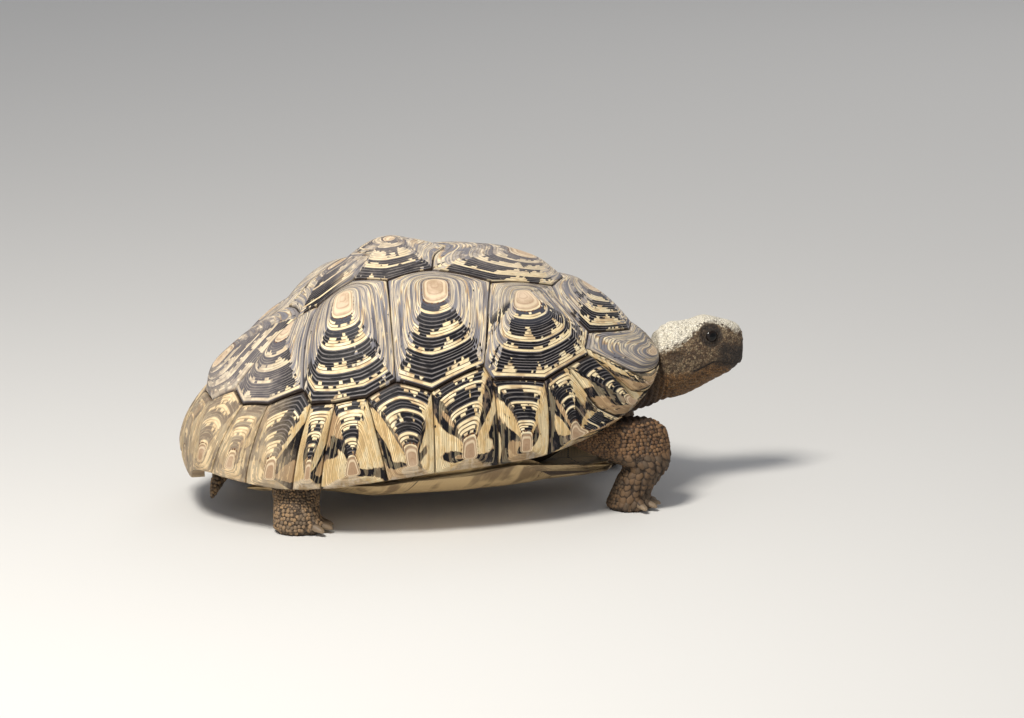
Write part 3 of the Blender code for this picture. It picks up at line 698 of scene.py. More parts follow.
@dataclass
class Carapace:
    """The domed upper shell, one solid piece for each horny plate."""

    dome: Dome = field(default_factory=Dome)
    areola: float = 0.22
    hump_curve: float = 1.5
    seam: float = 0.00035
    seam_groove: float = 0.0011
    seam_round: float = 0.0016
    ring_relief: float = 0.00042
    thickness: float = 0.0045
    areola_steps: int = 5
    ring_steps: tuple[float, ...] = (0.0, 0.16, 0.55)
    full_pitch: float = 0.0026
    # Painted sunlight on the rear: how much it is lightened in the worn colours, from where to where
    # along x.
    rear_wear: float = 0.80
    rear_from: float = -0.135
    rear_to: float = -0.205
    edge_points: int = 40

    def outline(self, plate: Plate) -> Array:
        """The closed outline on the map, evenly divided along its length on the dome.

        Args:
            plate: The plate.

        Returns:
            Places on the map, in order.
        """
        corners = [CORNERS[name] for name in plate.corners.split()]
        if not plate.paired:
            corners += [(-b, r) for b, r in reversed(corners) if b not in (0, 180)]
        edges = []
        for (bearing, reach), (next_bearing, next_reach) in zip(corners, corners[1:] + corners[:1]):
            if bearing == 180 and next_bearing < 0:
                next_bearing += 360
            start, end = on_map(bearing, reach), on_map(next_bearing, next_reach)
            shares = np.linspace(0, 1, self.edge_points)
            if reach == 1 and next_reach == 1:
                bearings = bearing + (next_bearing - bearing) * shares
                line = np.array([on_map(b, 1) for b in bearings])
            else:
                line = start + (end - start) * shares[:, None]
            length = np.linalg.norm(np.diff(self.dome.points(line), axis=0), axis=1)
            run = np.concatenate([[0], np.cumsum(length)])
            count = max(2, round(run[-1] / plate.kind.step))
            at = np.interp(np.arange(count) / count * run[-1], run, shares)
            edges.append(np.stack([np.interp(at, shares, line[:, k]) for k in (0, 1)], axis=1))
        return np.concatenate(edges)

    def ring_shares(self, plate: Plate, seed: int) -> tuple[Array, Array]:
        """Where the growth rings lie.

        Args:
            plate: The plate.
            seed: Number that sets how uneven its years were.

        Returns:
            The share of the outline at each row, and the ring number there: below 0 on the
            areola, and whole numbers where a ring begins.
        """
        rings = plate.kind.rings
        chance = np.random.default_rng(seed)
        widths = 1 + 0.35 * np.sin(np.arange(rings) * 0.9 + seed) * chance.random(rings)
        widths += chance.random(rings) * 0.5
        run = np.concatenate([[0], np.cumsum(widths)])
        starts = self.areola + (1 - self.areola) * run / widths.sum()
        shares = [i / self.areola_steps * self.areola for i in range(self.areola_steps)]
        numbers = [i / self.areola_steps - 1 for i in range(self.areola_steps)]
        for ring in range(rings):
            for step in self.ring_steps:
                shares.append(starts[ring] + (starts[ring + 1] - starts[ring]) * step)
                numbers.append(ring + step)
        shares += [1 - (1 - starts[-2]) * 0.12, 1.0]
        numbers += [rings - 0.12, float(rings)]
        return np.array(shares), np.array(numbers)

    def make_plate(self, plate: Plate, side: Side, seed: int,
                   material: bpy.types.Material) -> bpy.types.Object:
        """One plate with its hump, rings, seam edge and underside.

        Args:
            plate: What to make.
            side: Where it goes.
            seed: Number that sets its own unevenness.
            material: Its finish.

        Returns:
            The piece.
        """
        outline = self.outline(plate)
        shares, numbers = self.ring_shares(plate, seed)
        count, rows = len(outline), len(shares)
        mesh, uv = grid_mesh(count, rows - 1)
        column = np.rint(uv[:, 0] * count).astype(int) % count
        row = np.rint(uv[:, 1] * (rows - 1)).astype(int)
        middle = on_map(*plate.centre)
        rim = self.dome.points(outline)
        heart = self.dome.points(middle[None])[0]
        span = np.linalg.norm(rim - heart, axis=1)
        inset = 1 - self.seam / np.maximum(span, 0.004)
        share = shares[row] * inset[column]
        soft = self.rounded(outline)[column]
        reached = soft + (outline[column] - soft) * share[:, None] ** 5
        places = middle + (reached - middle) * share[:, None]
        base = self.dome.points(places)
        normal = self.dome.normals(places)
        grown = np.clip((shares[row] - self.areola) / (1 - self.areola), 0, 1)
        height = plate.height * (1 - grown ** self.hump_curve)
        number, part = numbers[row], numbers[row] % 1
        pitch = span * (1 - self.areola) / plate.kind.rings
        wide = np.clip(pitch / self.full_pitch, 0.12, 1.0)[column]
        # The rear is lightened in the worn colours as painted sunlight; worn carries that as well as
        # the real wear.
        rear = self.rear_wear * between(base[:, 0], self.rear_from, self.rear_to)
        worn = np.clip(self.worn(plate, places, grown) + rear, 0, 1)
        relief = self.ring_relief * wide * (1 - 0.55 * worn)
        height += np.where(number >= 0, relief * (np.clip(part / 0.16, 0, 1) * (1 - 0.45 * part)), 0)
        height += np.where(number < 0, relief * 0.7 * (0.5 - 0.9 * hill(number, 0, 0.12)), 0)
        to_seam = (1 - shares[row]) * span[column]
        height -= self.seam_groove * np.clip(1 - to_seam / self.seam_round, 0, 1) ** 2
        height += self.unevenness(base, seed)
        points = base + normal * height[:, None]
        angle = math.tau * column / count
        girth = np.linalg.norm(np.roll(rim, -1, 0) - rim, axis=1).sum()
        radius = girth / math.tau * 100
        growth = np.stack([np.cos(angle) * radius, np.sin(angle) * radius, number], 1)
        reach = (np.maximum(number, 0) + 4) / (plate.kind.rings + 4)
        origin = np.stack([np.full(len(angle), float(seed)), reach,
                           np.full(len(angle), float(plate.kind.edge_plate))], 1)
        faced = self.frayed(self.block_share(plate, rim, heart))[column]
        wear = np.stack([wide, worn, faced], 1)
        place_verts(mesh, points * side.mirror)
        return self.closed(plate, side, mesh, outline, inset, middle,
                           {"growth": growth, "wear": wear, "origin": origin}, material)

    def rounded(self, outline: Array) -> Array:
        """An outline with its corners rounded, for the inner rings.

        Args:
            outline: The outline.

        Returns:
            The outline with soft corners.
        """
        width = max(len(outline) // 22, 1)
        for _ in range(2):
            outline = sum(np.roll(outline, k, 0) for k in range(-width, width + 1)) / (2 * width + 1)
        return outline

    def closed(self, plate: Plate, side: Side, mesh: bmesh.types.BMesh, outline: Array,
               inset: Array, middle: Array, labels: dict[str, Array],
               material: bpy.types.Material) -> bpy.types.Object:
        """Sews the grid into a disc and gives it its wall and underside.

        Args:
            plate: The plate.
            side: Where it goes.
            mesh: Its top, still a grid.
            outline: Its outline on the map.
            inset: How far each column is drawn in for the seam.
            middle: Its areola's middle on the map.
            labels: Attributes of the top.
            material: Its finish.

        Returns:
            The piece.
        """
        label_verts(mesh, labels)
        bmesh.ops.remove_doubles(mesh, verts=mesh.verts, dist=WELD)
        border = [edge for edge in mesh.edges if edge.is_boundary]
        top_ring = {vert for edge in border for vert in edge.verts}
        edge = middle + (outline - middle) * inset[:, None]
        targets = self.dome.under(edge, self.thickness, self.dome.lip) * side.mirror
        made = bmesh.ops.extrude_edge_only(mesh, edges=border)["geom"]
        under = [item for item in made if isinstance(item, bmesh.types.BMVert)]
        rim = self.dome.points(edge) * side.mirror
        for vert in under:
            nearest = np.argmin(((rim - np.array(vert.co)) ** 2).sum(1))
            vert.co = targets[nearest]
        bottom = [item for item in made if isinstance(item, bmesh.types.BMEdge)
                  and item.verts[0] not in top_ring and item.verts[1] not in top_ring]
        centre = self.dome.under(middle[None], self.thickness, self.dome.lip)[0] * side.mirror
        cap = bmesh.ops.extrude_edge_only(mesh, edges=bottom)["geom"]
        bmesh.ops.pointmerge(mesh, verts=[v for v in cap if isinstance(v, bmesh.types.BMVert)],
                             merge_co=Vector(centre))
        face_out(mesh)
        name = plate.name
        if plate.paired:
            kind, number = plate.name.split("_")
            name = f"{kind}_{side.word}_{number}"
        return finished(f"horn_{name}", mesh, material, (name,), sharp=60)

    def worn(self, plate: Plate, places: Array, grown: Array) -> Array:
        """How worn and bleached each place is, 0 to 1: most on the tops.

        Args:
            plate: The plate.
            places: Places on the map.
            grown: Their share of the way out.

        Returns:
            The wear.
        """
        reach = np.linalg.norm(places, axis=1)
        high = 1 - between(reach, 0.25, 0.75)
        return np.clip(plate.kind.wear * (0.35 + 0.65 * high) * (1 - 0.60 * grown)
                       + 0.12 * high, 0, 1)

    def block_share(self, plate: Plate, rim: Array, heart: Array) -> Array:
        """Where a plate carries dark blocks, for each column.

        Args:
            plate: The plate.
            rim: Its outline.
            heart: The middle of its areola.

        Returns:
            1 where the column ends on a level edge on the plate's long side, 0 elsewhere, and
            -1 on a marginal's own rim.
        """
        way, edge = unit(rim - heart), unit(np.roll(rim, -1, 0) - rim)
        if abs(heart[1]) < 1e-4:
            return between(np.abs(edge[:, 0]), 0.55, 0.70)
        flank = unit(heart - np.array([self.dome.apex_x + self.dome.shift_x, 0, heart[2] - 0.05]))
        down = unit(np.cross(np.cross(flank, [0, 0, -1.0]), flank))
        if plate.name == "marginal_1":
            down = unit(np.array([1.0, -0.25, -0.45]))
        level = between(np.abs(edge @ down), 0.84, 0.72)
        long_side = -(way @ down) if plate.kind.edge_plate else way @ down
        return level * between(long_side, 0.0, 0.15) - between(long_side, -0.3, -0.8) * float(
            plate.kind.edge_plate)

    def frayed(self, share: Array) -> Array:
        """The shares, softened over the next columns so that the blocks end raggedly."""
        spread = max(len(share) // 26, 2)
        return np.mean([np.roll(share, step) for step in range(-spread, spread + 1)], axis=0)

    def unevenness(self, points: Array, seed: int) -> Array:
        """Slow swells of the horn, up to about half a millimetre."""
        shift = Vector((0, 0, seed * 0.37))
        return np.array([noise.noise(Vector(p) * 38 + shift) for p in points]) * 0.0006

    def build(self, material: bpy.types.Material) -> list[bpy.types.Object]:
        """All the plates.

        Args:
            material: Their finish.

        Returns:
            The pieces.
        """
        pieces = []
        for number, plate in enumerate(PLATES):
            for side in PAIR if plate.paired else (Side.MIDDLE,):
                seed = number * 2 + (side is Side.LEFT)
                pieces.append(self.make_plate(plate, side, seed, material))
        return pieces


@dataclass(frozen=True)
class PlateHorn:
    """Ridged horn, cream yellow with near-black blocks that keep to the growth rings."""

    cream: Colour = (0.88, 0.72, 0.44)
    butter: Colour = (0.93, 0.81, 0.56)
    tan: Colour = (0.52, 0.34, 0.18)
    black: Colour = (0.005, 0.0045, 0.007)
    lilac: Colour = (0.12, 0.112, 0.130)
    slate: Colour = (0.075, 0.078, 0.100)
    areola: Colour = (0.47, 0.335, 0.215)
    # Worn colours of the big plates, also used as painted sunlight on the rear.
    weathered: Colour = (0.42, 0.34, 0.27)
    pale: Colour = (0.77, 0.65, 0.49)
    silver: Colour = (0.265, 0.255, 0.275)
    # Dark ring lines: their own brown and painted shade in the ring grooves.
    groove: Colour = (0.080, 0.042, 0.020)
    straw: Colour = (0.80, 0.56, 0.26)
    scoring: Colour = (0.34, 0.31, 0.30)
    # Worn colours of the marginals, also used as painted sunlight on the rear.
    amber: Colour = (0.62, 0.44, 0.25)
    bone: Colour = (0.90, 0.70, 0.43)
    smoke: Colour = (0.120, 0.112, 0.120)
    # Painted shade in the seams between plates.
    rift: Colour = (0.030, 0.018, 0.012)
    areola_pale: Colour = (0.70, 0.54, 0.385)
    areola_line: Colour = (0.34, 0.20, 0.13)
    areola_low: Colour = (0.30, 0.17, 0.085)
    frame: Colour = (0.80, 0.66, 0.45)
    dot: Colour = (0.15, 0.055, 0.018)
    dust: Colour = (0.50, 0.39, 0.28)
    band: float = 6.2

    def make(self) -> bpy.types.Material:
        """The material, which reads the plates' growth, wear (with the painted light on the rear)
        and origin.

        Returns:
            The finish.
        """
        g = Graph("PlateHorn")
        x, y, ring = g.split(g.attribute("growth"))
        wide, worn, faced = g.split(g.attribute("wear"))
        seed, reach, edge = g.split(g.attribute("origin"))
        whole, part = ring.floor(), ring.rest()
        place = g.place()
        dust = g.noise(place, 60.0, 4.0, 0.65)
        period = self.band - edge * 1.4
        # Dark blocks: bands of several rings, ragged where they end.
        own = g.noise(g.join(seed * 7.3, whole * 0.16, 0.0), 1.0, 0.0)
        year = (whole + (own - 0.5) * 6.0 + (seed * 0.618).rest() * 2.0) / period
        band, done = year.floor(), year.rest()
        middle = reach * ((band + 0.5) * period + 4.0) / (ring.math("MAXIMUM", 0.0) + 4.0)
        middle = middle.math("MAXIMUM", 0.25).math("MINIMUM", 1.0)
        shift = seed * 11.7
        turn_x, turn_y = x * reach, y * reach
        own_x = turn_x + shift
        block_x, block_y = x * middle + shift, y * middle
        rays = g.noise(g.join(block_x, block_y, band * 2.7), 0.60, 1.0, 0.5)
        drips = g.noise(g.join(block_x, block_y, band * 5.1), 1.7, 0.0)
        steps = g.noise(g.join(own_x, turn_y, whole * 2.3), 2.4, 0.0)
        slow = g.noise(g.join(own_x, turn_y, seed), 0.28, 0.0)
        first = band.step(0.6, 0.4) * (1 - edge)
        ask = done * 0.43 + 0.240 - first * 0.10 * done.step(0.5, 0.3) + done.step(0.88, 0.94) * 0.2
        weight = (rays * 0.62 + drips * 0.38 + (steps - 0.5) * 0.14 + (slow - 0.5) * 0.50
                  + (wide - 0.8) * 0.10 - ask)
        dark = weight.step(-0.010, 0.014) * ring.step(0.6, 0.9)
        sector = (faced + (steps - 0.5) * 0.9 + (drips - 0.5) * 1.1).step(0.44, 0.50)
        flank = wide.step(0.60, 0.40).math("MAXIMUM", 1 - sector)
        # Flanks beside the blocks, streaked on the big plates and swept on the marginals.
        streak = g.noise(g.join(turn_x * 0.24 + shift, turn_y * 0.24, ring * 0.62), 0.7, 1.0)
        old_flank = g.ramp(streak, [(0.28, self.lilac), (0.40, self.silver), (0.45, self.silver),
                                    (0.475, self.tan), (0.50, self.butter), (0.53, self.pale),
                                    (0.555, self.silver), (0.60, self.pale), (0.66, self.silver)])
        rub = g.noise(g.stretched(place, (1.0, 1.0, 0.35)), 130.0, 3.0, 0.6)
        sweep = g.noise(g.join(x * 0.55 + shift, y * 0.55, seed + ring * 0.09), 0.46, 0.0)
        sweep = sweep + (g.noise(g.join(turn_x, turn_y, whole * 0.4), 1.5, 1.0) - 0.5) * 0.06
        warm = g.mix(rub.step(0.40, 0.58), self.cream, self.straw)
        new_flank = g.mix(sweep.step(0.488, 0.502), warm, self.tan)
        new_flank = g.mix(sweep.step(0.499, 0.509) * sweep.step(0.640, 0.625), new_flank,
                          g.mix(rub.step(0.50, 0.62) * 0.4, self.black, self.lilac))
        foot = ((faced * -1.0).step(-0.1, 0.9) + (rub - 0.5) * 1.6).step(0.35, 0.75)
        new_flank = g.mix(foot * 0.85, new_flank, g.mix(rub.step(0.42, 0.60), self.tan, self.pale))
        new_flank = g.mix(rub.step(0.54, 0.64) * 0.35, new_flank, self.tan)
        flank_colour = g.mix(edge, old_flank, new_flank)
        # Pale ground, the blocks on it and the dark lines between rings, which are partly painted
        # shade in the ring grooves.
        tint = g.noise(g.join(own_x, turn_y, whole * 1.7), 0.9, 1.0)
        ground = g.mix(tint.step(0.50, 0.66) * 0.70, self.cream, self.tan)
        ground = g.mix(tint.step(0.46, 0.34) * 0.8, ground, self.butter)
        early = ring.step(9.0, 1.0) * (1 - edge)
        colour = g.mix(dark, ground, g.mix(early * 0.85, self.black, self.slate))
        colour = g.mix(flank * (1 - edge * 0.15) * 0.92, colour, flank_colour)
        line = part.step(0.33, 0.15) + part.step(0.90, 0.97)
        show = g.noise(g.join(own_x, turn_y, whole * 3.1), 0.8, 1.0)
        show = show.step(0.28, 0.46) * (1 - flank * 0.45) * ring.step(0, 0.5)
        colour = g.mix(line * show * (1 - dark) * 0.88, colour, self.groove)
        scored = g.mix(early, self.scoring, self.black)
        colour = g.mix(line * show * dark * (1 - flank) * 0.55, colour, scored)
        # Wear, which bleaches the tops, and painted sunlight, which lightens the rear in the same
        # colours.
        faded_and_rear_lit = g.mix(edge, self.weathered, self.amber)
        bleached_and_rear_lit = g.mix(edge, self.pale, self.bone)
        worn_and_rear_lit = g.mix((tint * 0.6 + dust * 0.4).step(0.44, 0.56), faded_and_rear_lit, bleached_and_rear_lit)
        ghost = (dark * (0.9 - edge * 0.25)).math("MAXIMUM", flank * rub.step(0.50, 0.60) * 0.6)
        ghost = ghost * (1 - edge * 0.10 - line * show * 0.35)
        worn_and_rear_lit = g.mix(ghost, worn_and_rear_lit, g.mix(edge, self.lilac, self.smoke))
        colour = g.mix((worn + (dust - 0.5) * 0.5).step(0.34, 0.95) * 0.80, colour, worn_and_rear_lit)
        # Painted shade along the seams at each plate's edge, stronger beside the dark blocks.
        rift = reach.step(0.968, 0.992) * (0.35 + sector * 0.55)
        colour = g.mix(rift, colour, self.rift)
        # The areola, framed by a pale line and a row of dark dots.
        heart = g.mix(dust.step(0.35, 0.65), self.areola, self.areola_pale)
        heart = g.mix((ring * 3.0).rest().step(0.70, 0.95) * 0.45, heart, self.areola_line)
        heart = g.mix(edge * 0.55, heart, self.areola_low)
        colour = g.mix(ring.step(0.10, -0.05), colour, heart)
        frame_line = ring.step(-0.34, -0.24) * ring.step(-0.10, -0.18)
        frame_line = frame_line + ring.step(0.05, 0.20) * ring.step(0.62, 0.48)
        colour = g.mix(frame_line * 0.62, colour, self.frame)
        dots = g.noise(g.join(turn_x * 1.3 + shift, turn_y * 1.3, 5.0), 5.0, 0.0)
        colour = g.mix(ring.step(0.62, 0.72) * ring.step(1.35, 1.15) * dots.step(0.50, 0.56)
                       * wide.step(0.3, 0.6), colour, self.dot)
        # Dust, scratches and the fine relief of the horn.
        colour = g.mix(dust.step(0.52, 0.85) * (0.34 - dark * 0.24), colour, self.dust)
        scratch = g.noise(g.join(x * 0.6, y * 0.6, ring * 1.9), 3.0, 3.0)
        colour = g.mix(scratch.step(0.60, 0.74) * 0.26 * (0.2 + worn), colour, self.pale)
        fine = g.noise(place, 900.0, 3.0, 0.6)
        grain = g.noise(g.join(turn_x, turn_y, ring * 9.0), 2.0, 2.0)
        normal = g.bump(part.step(0.30, 0.0) * (-1.0) + grain * 0.5 + fine * 0.25, 0.00024)
        rough = 0.34 + worn * 0.22 + dust * 0.14
        return g.surface(Base_Color=colour, Roughness=rough, Normal=normal,
                         Specular_IOR_Level=0.22)


# ---------------------------------------------------------------- flesh
EYE_CENTRE = Vector((0.2174, 0.0152, 0.1362))
EYE_RADIUS = 0.0068
MOUTH_LINE = ((0.2011, 0.1070), (0.2101, 0.1098), (0.2204, 0.1135), (0.2311, 0.1120),
              (0.2426, 0.1085), (0.2611, 0.1060))


class Leg(Enum):
    """Which pair a leg is of."""

    FRONT = "front"
    HIND = "hind"


@dataclass(frozen=True)
class Limb:
    """A leg as level sections from its sole up: height, x, y, half length, half width."""

    kind: Leg
    side: Side
    sections: tuple
    stride: float
    claws: int
    claw_spread: float
    claw_length: float
    claw_radius: float
    toe_out: float = 12.0
    claw_height: float = 0.0066
    fit: float = 0.975

    @property
    def label(self) -> str:
        """The leg's words in the names of pieces."""
        return f"{self.kind.value}_{self.side.word}"

    def rings(self, height: Array) -> tuple[Array, Array, Array, Array]:
        """Middle x and y, half length and half width at each height.

        Args:
            height: Heights above the sole.

        Returns:
            The four, each an array.
        """
        table = np.array(self.sections)
        x, y, length, width = (along(np.stack([table[:, 0], table[:, k]], 1), height)
                               for k in (1, 2, 3, 4))
        stride = self.stride * (1 - height / table[-1, 0])
        return x + stride, y * -self.side.value, length, width

    def points(self, turn: Array, share: Array, depth: float = 0.0) -> Array:
        """Points of its surface.

        Args:
            turn: Share of the way round, 0 to 1.
            share: Share of the way up.
            depth: How far inside the surface.

        Returns:
            The points.
        """
        height = share * self.sections[-1][0]
        x, y, length, width = self.rings(height)
        angle = math.tau * turn
        return np.stack([x + (length * self.fit - depth) * np.cos(angle),
                         y + (width * self.fit - depth) * np.sin(angle), height], -1)

    def claw_lines(self) -> list[tuple[Vector, Vector]]:
        """Root and outward direction of each claw.

        Returns:
            The pairs, from one side of the foot to the other.
        """
        x, y, length, width = (float(v) for v in self.rings(np.array(0.003)))
        lines = []
        for i in range(self.claws):
            share = 2 * i / (self.claws - 1) - 1
            angle = math.radians(share * self.claw_spread + self.toe_out * self.side.value)
            way = Vector((math.cos(angle), math.sin(angle), 0))
            root = Vector((x + length * way.x, y + width * way.y, self.claw_height))
            lines.append((root, way))
        return lines


FRONT_SECTIONS = (
    (0.0000, 0.1281, -0.0790, 0.0170, 0.0175), (0.0030, 0.1281, -0.0790, 0.0190, 0.0192),
    (0.0110, 0.1296, -0.0792, 0.0188, 0.0190), (0.0165, 0.1316, -0.0795, 0.0185, 0.0188),
    (0.0270, 0.1371, -0.0800, 0.0200, 0.0192), (0.0400, 0.1426, -0.0800, 0.0225, 0.0205),
    (0.0500, 0.1311, -0.0770, 0.0370, 0.0215), (0.0620, 0.1201, -0.0735, 0.0475, 0.0225),
    (0.0730, 0.1171, -0.0720, 0.0450, 0.0200), (0.0790, 0.1171, -0.0710, 0.0360, 0.0150))
HIND_SECTIONS = (
    (0.0000, -0.1689, -0.0985, 0.0185, 0.0180), (0.0030, -0.1689, -0.0985, 0.0208, 0.0203),
    (0.0110, -0.1689, -0.0975, 0.0212, 0.0207), (0.0165, -0.1687, -0.0965, 0.0212, 0.0207),
    (0.0250, -0.1679, -0.0920, 0.0212, 0.0205), (0.0340, -0.1664, -0.0845, 0.0230, 0.0208),
    (0.0460, -0.1589, -0.0755, 0.0310, 0.0240), (0.0600, -0.1519, -0.0700, 0.0370, 0.0260),
    (0.0760, -0.1469, -0.0660, 0.0340, 0.0240), (0.0860, -0.1449, -0.0640, 0.0220, 0.0160))
LIMBS = (
    Limb(Leg.FRONT, Side.RIGHT, FRONT_SECTIONS, 0.0, 5, 56, 0.0105, 0.0052),
    Limb(Leg.FRONT, Side.LEFT, FRONT_SECTIONS, 0.008, 5, 56, 0.0105, 0.0052),
    Limb(Leg.HIND, Side.RIGHT, HIND_SECTIONS, 0.0, 4, 42, 0.0115, 0.0060),
    Limb(Leg.HIND, Side.LEFT, HIND_SECTIONS, -0.010, 4, 42, 0.0115, 0.0060))


@dataclass(frozen=True)
class Tail:
    """The short tail, bent to the right."""

    sections: tuple = (
        (-0.1889, 0.000, 0.0540, 0.0150), (-0.2069, -0.005, 0.0450, 0.0120),
        (-0.2199, -0.013, 0.0345, 0.0085), (-0.2279, -0.023, 0.0240, 0.0055),
        (-0.2324, -0.031, 0.0160, 0.0022))

    def points(self, turn: Array, share: Array, depth: float = 0.0) -> Array:
        """Points of its surface by turn and share of its length.

        Args:
            turn: Share of the way round.
            share: Share of the length.
            depth: How far inside.

        Returns:
            The points.
        """
        table = np.array(self.sections)
        middle = np.stack([read_off(table, k, share) for k in range(3)], -1)
        ahead = unit(np.stack([read_off(table, k, share + 0.01) - read_off(table, k, share - 0.01)
                               for k in range(3)], -1))
        radius = read_off(table, 3, share) * 0.96 - depth
        side = unit(np.cross(ahead, [0, 0, 1.0]))
        up = np.cross(side, ahead)
        angle = math.tau * turn[..., None]
        return middle + radius[..., None] * (side * np.cos(angle) + up * np.sin(angle))


@dataclass(frozen=True)
class Neck:
    """Neck and head: x, top, bottom, half width, widest height, fullness above and below."""

    sections: tuple = (
        (0.1111, 0.1140, 0.0640, 0.0290, 0.092, 2.0, 2.0),
        (0.1391, 0.1180, 0.0650, 0.0300, 0.093, 2.0, 2.0),
        (0.1541, 0.1205, 0.0690, 0.0285, 0.096, 1.9, 2.0),
        (0.1651, 0.1290, 0.0720, 0.0280, 0.098, 1.8, 2.0),
        (0.1741, 0.1415, 0.0755, 0.0275, 0.103, 1.9, 2.0),
        (0.1851, 0.1475, 0.0780, 0.0270, 0.107, 2.0, 2.0),
        (0.1941, 0.1478, 0.0795, 0.0262, 0.110, 2.1, 1.9),
        (0.2041, 0.1490, 0.0830, 0.0250, 0.114, 2.3, 1.9),
        (0.2141, 0.1520, 0.0875, 0.0232, 0.118, 2.5, 1.9),
        (0.2231, 0.1508, 0.0920, 0.0216, 0.120, 2.5, 1.9),
        (0.2311, 0.1485, 0.0957, 0.0196, 0.121, 2.4, 2.0),
        (0.2386, 0.1466, 0.0990, 0.0170, 0.121, 2.3, 2.0),
        (0.2446, 0.1440, 0.1030, 0.0138, 0.121, 2.2, 2.0),
        (0.2486, 0.1400, 0.1080, 0.0102, 0.121, 2.1, 2.0),
        (0.2504, 0.1340, 0.1140, 0.0060, 0.122, 2.0, 2.0))

    def points(self, turn: Array, share: Array, depth: float = 0.0) -> Array:
        """Points of the surface by turn and share of the length.

        Args:
            turn: Share of the way round.
            share: Share of the length.
            depth: How far inside.

        Returns:
            The points.
        """
        table = np.array(self.sections)
        x, top, bottom, half, middle, above, below = (read_off(table, k, share) for k in range(7))
        angle = math.tau * turn
        cosine, sine = np.cos(angle), np.sin(angle)
        fullness = np.where(sine > 0, above, below)
        reach = np.where(sine > 0, top - middle, middle - bottom) - depth
        return np.stack([
            x, (half - depth) * np.copysign(np.abs(cosine) ** (2 / fullness), cosine),
            middle + reach * np.copysign(np.abs(sine) ** (2 / fullness), sine)], -1)


@dataclass(frozen=True)
class Markings:
    """Where the hide is pale, dark or tan, worked out from the place alone."""

    crown_line: tuple = ((0.160, 0.120), (0.176, 0.126), (0.1858, 0.130), (0.1984, 0.1365),
                         (0.211, 0.1455), (0.223, 0.1465), (0.236, 0.141), (0.249, 0.137))
    ear: tuple[float, float] = (0.1853, 0.1200)

    @staticmethod
    def nostril(points: Array) -> Array:
        """How far each place is from the nearer nostril, seen from the front."""
        return np.hypot(np.abs(points[:, 1]) - 0.0040, points[:, 2] - 0.1325) + between(
            points[:, 0], 0.244, 0.238)

    def at(self, points: Array) -> tuple[Array, Array]:
        """The two sets of weights at each place.

        Args:
            points: Places on the hide.

        Returns:
            (pale crown, dark, throat) and (forearm, hind limb, head).
        """
        x, y, z = points[:, 0], np.abs(points[:, 1]), points[:, 2]
        head = between(x, 0.158, 0.176) * between(z, 0.066, 0.074)
        crown = head * between(z - along(self.crown_line, x), -0.0060, 0.0085)
        eye = np.linalg.norm(points * [1, 0, 1] + np.stack([0 * y, y, 0 * y], 1)
                             - np.array(EYE_CENTRE), axis=1)
        gap = z - along(MOUTH_LINE, x)
        # Dark round the eye: the dark lids and painted shade in the socket.
        dark = np.maximum(0.80 * between(eye, 0.0138, 0.0092), between(eye, 0.0098, 0.0080))
        dark = np.maximum(dark, 0.90 * between(x, 0.2130, 0.2330) * between(gap, 0.0250, 0.0120)
                          * between(gap, -0.012, 0.000))
        ear = np.hypot((x - self.ear[0]) / 0.0088, (z - self.ear[1]) / 0.0056)
        dark = np.maximum(dark, 0.52 * between(ear, 1.5, 0.5) * between(y, 0.012, 0.018))
        # The dark line along the mouth slit and the dark nostril pits are painted shade.
        dark = np.maximum(dark, 0.95 * hill(gap, 0, 0.0014) * between(x, 0.196, 0.202))
        dark = np.maximum(dark, between(self.nostril(points), 0.0028, 0.0018))
        throat = head * between(gap, 0.002, -0.004)
        forearm = between(x, 0.08, 0.09) * between(z, 0.056, 0.046)
        hind = between(x, -0.05, -0.07)
        return (np.stack([crown, dark, throat], 1), np.stack([forearm, hind, head], 1))


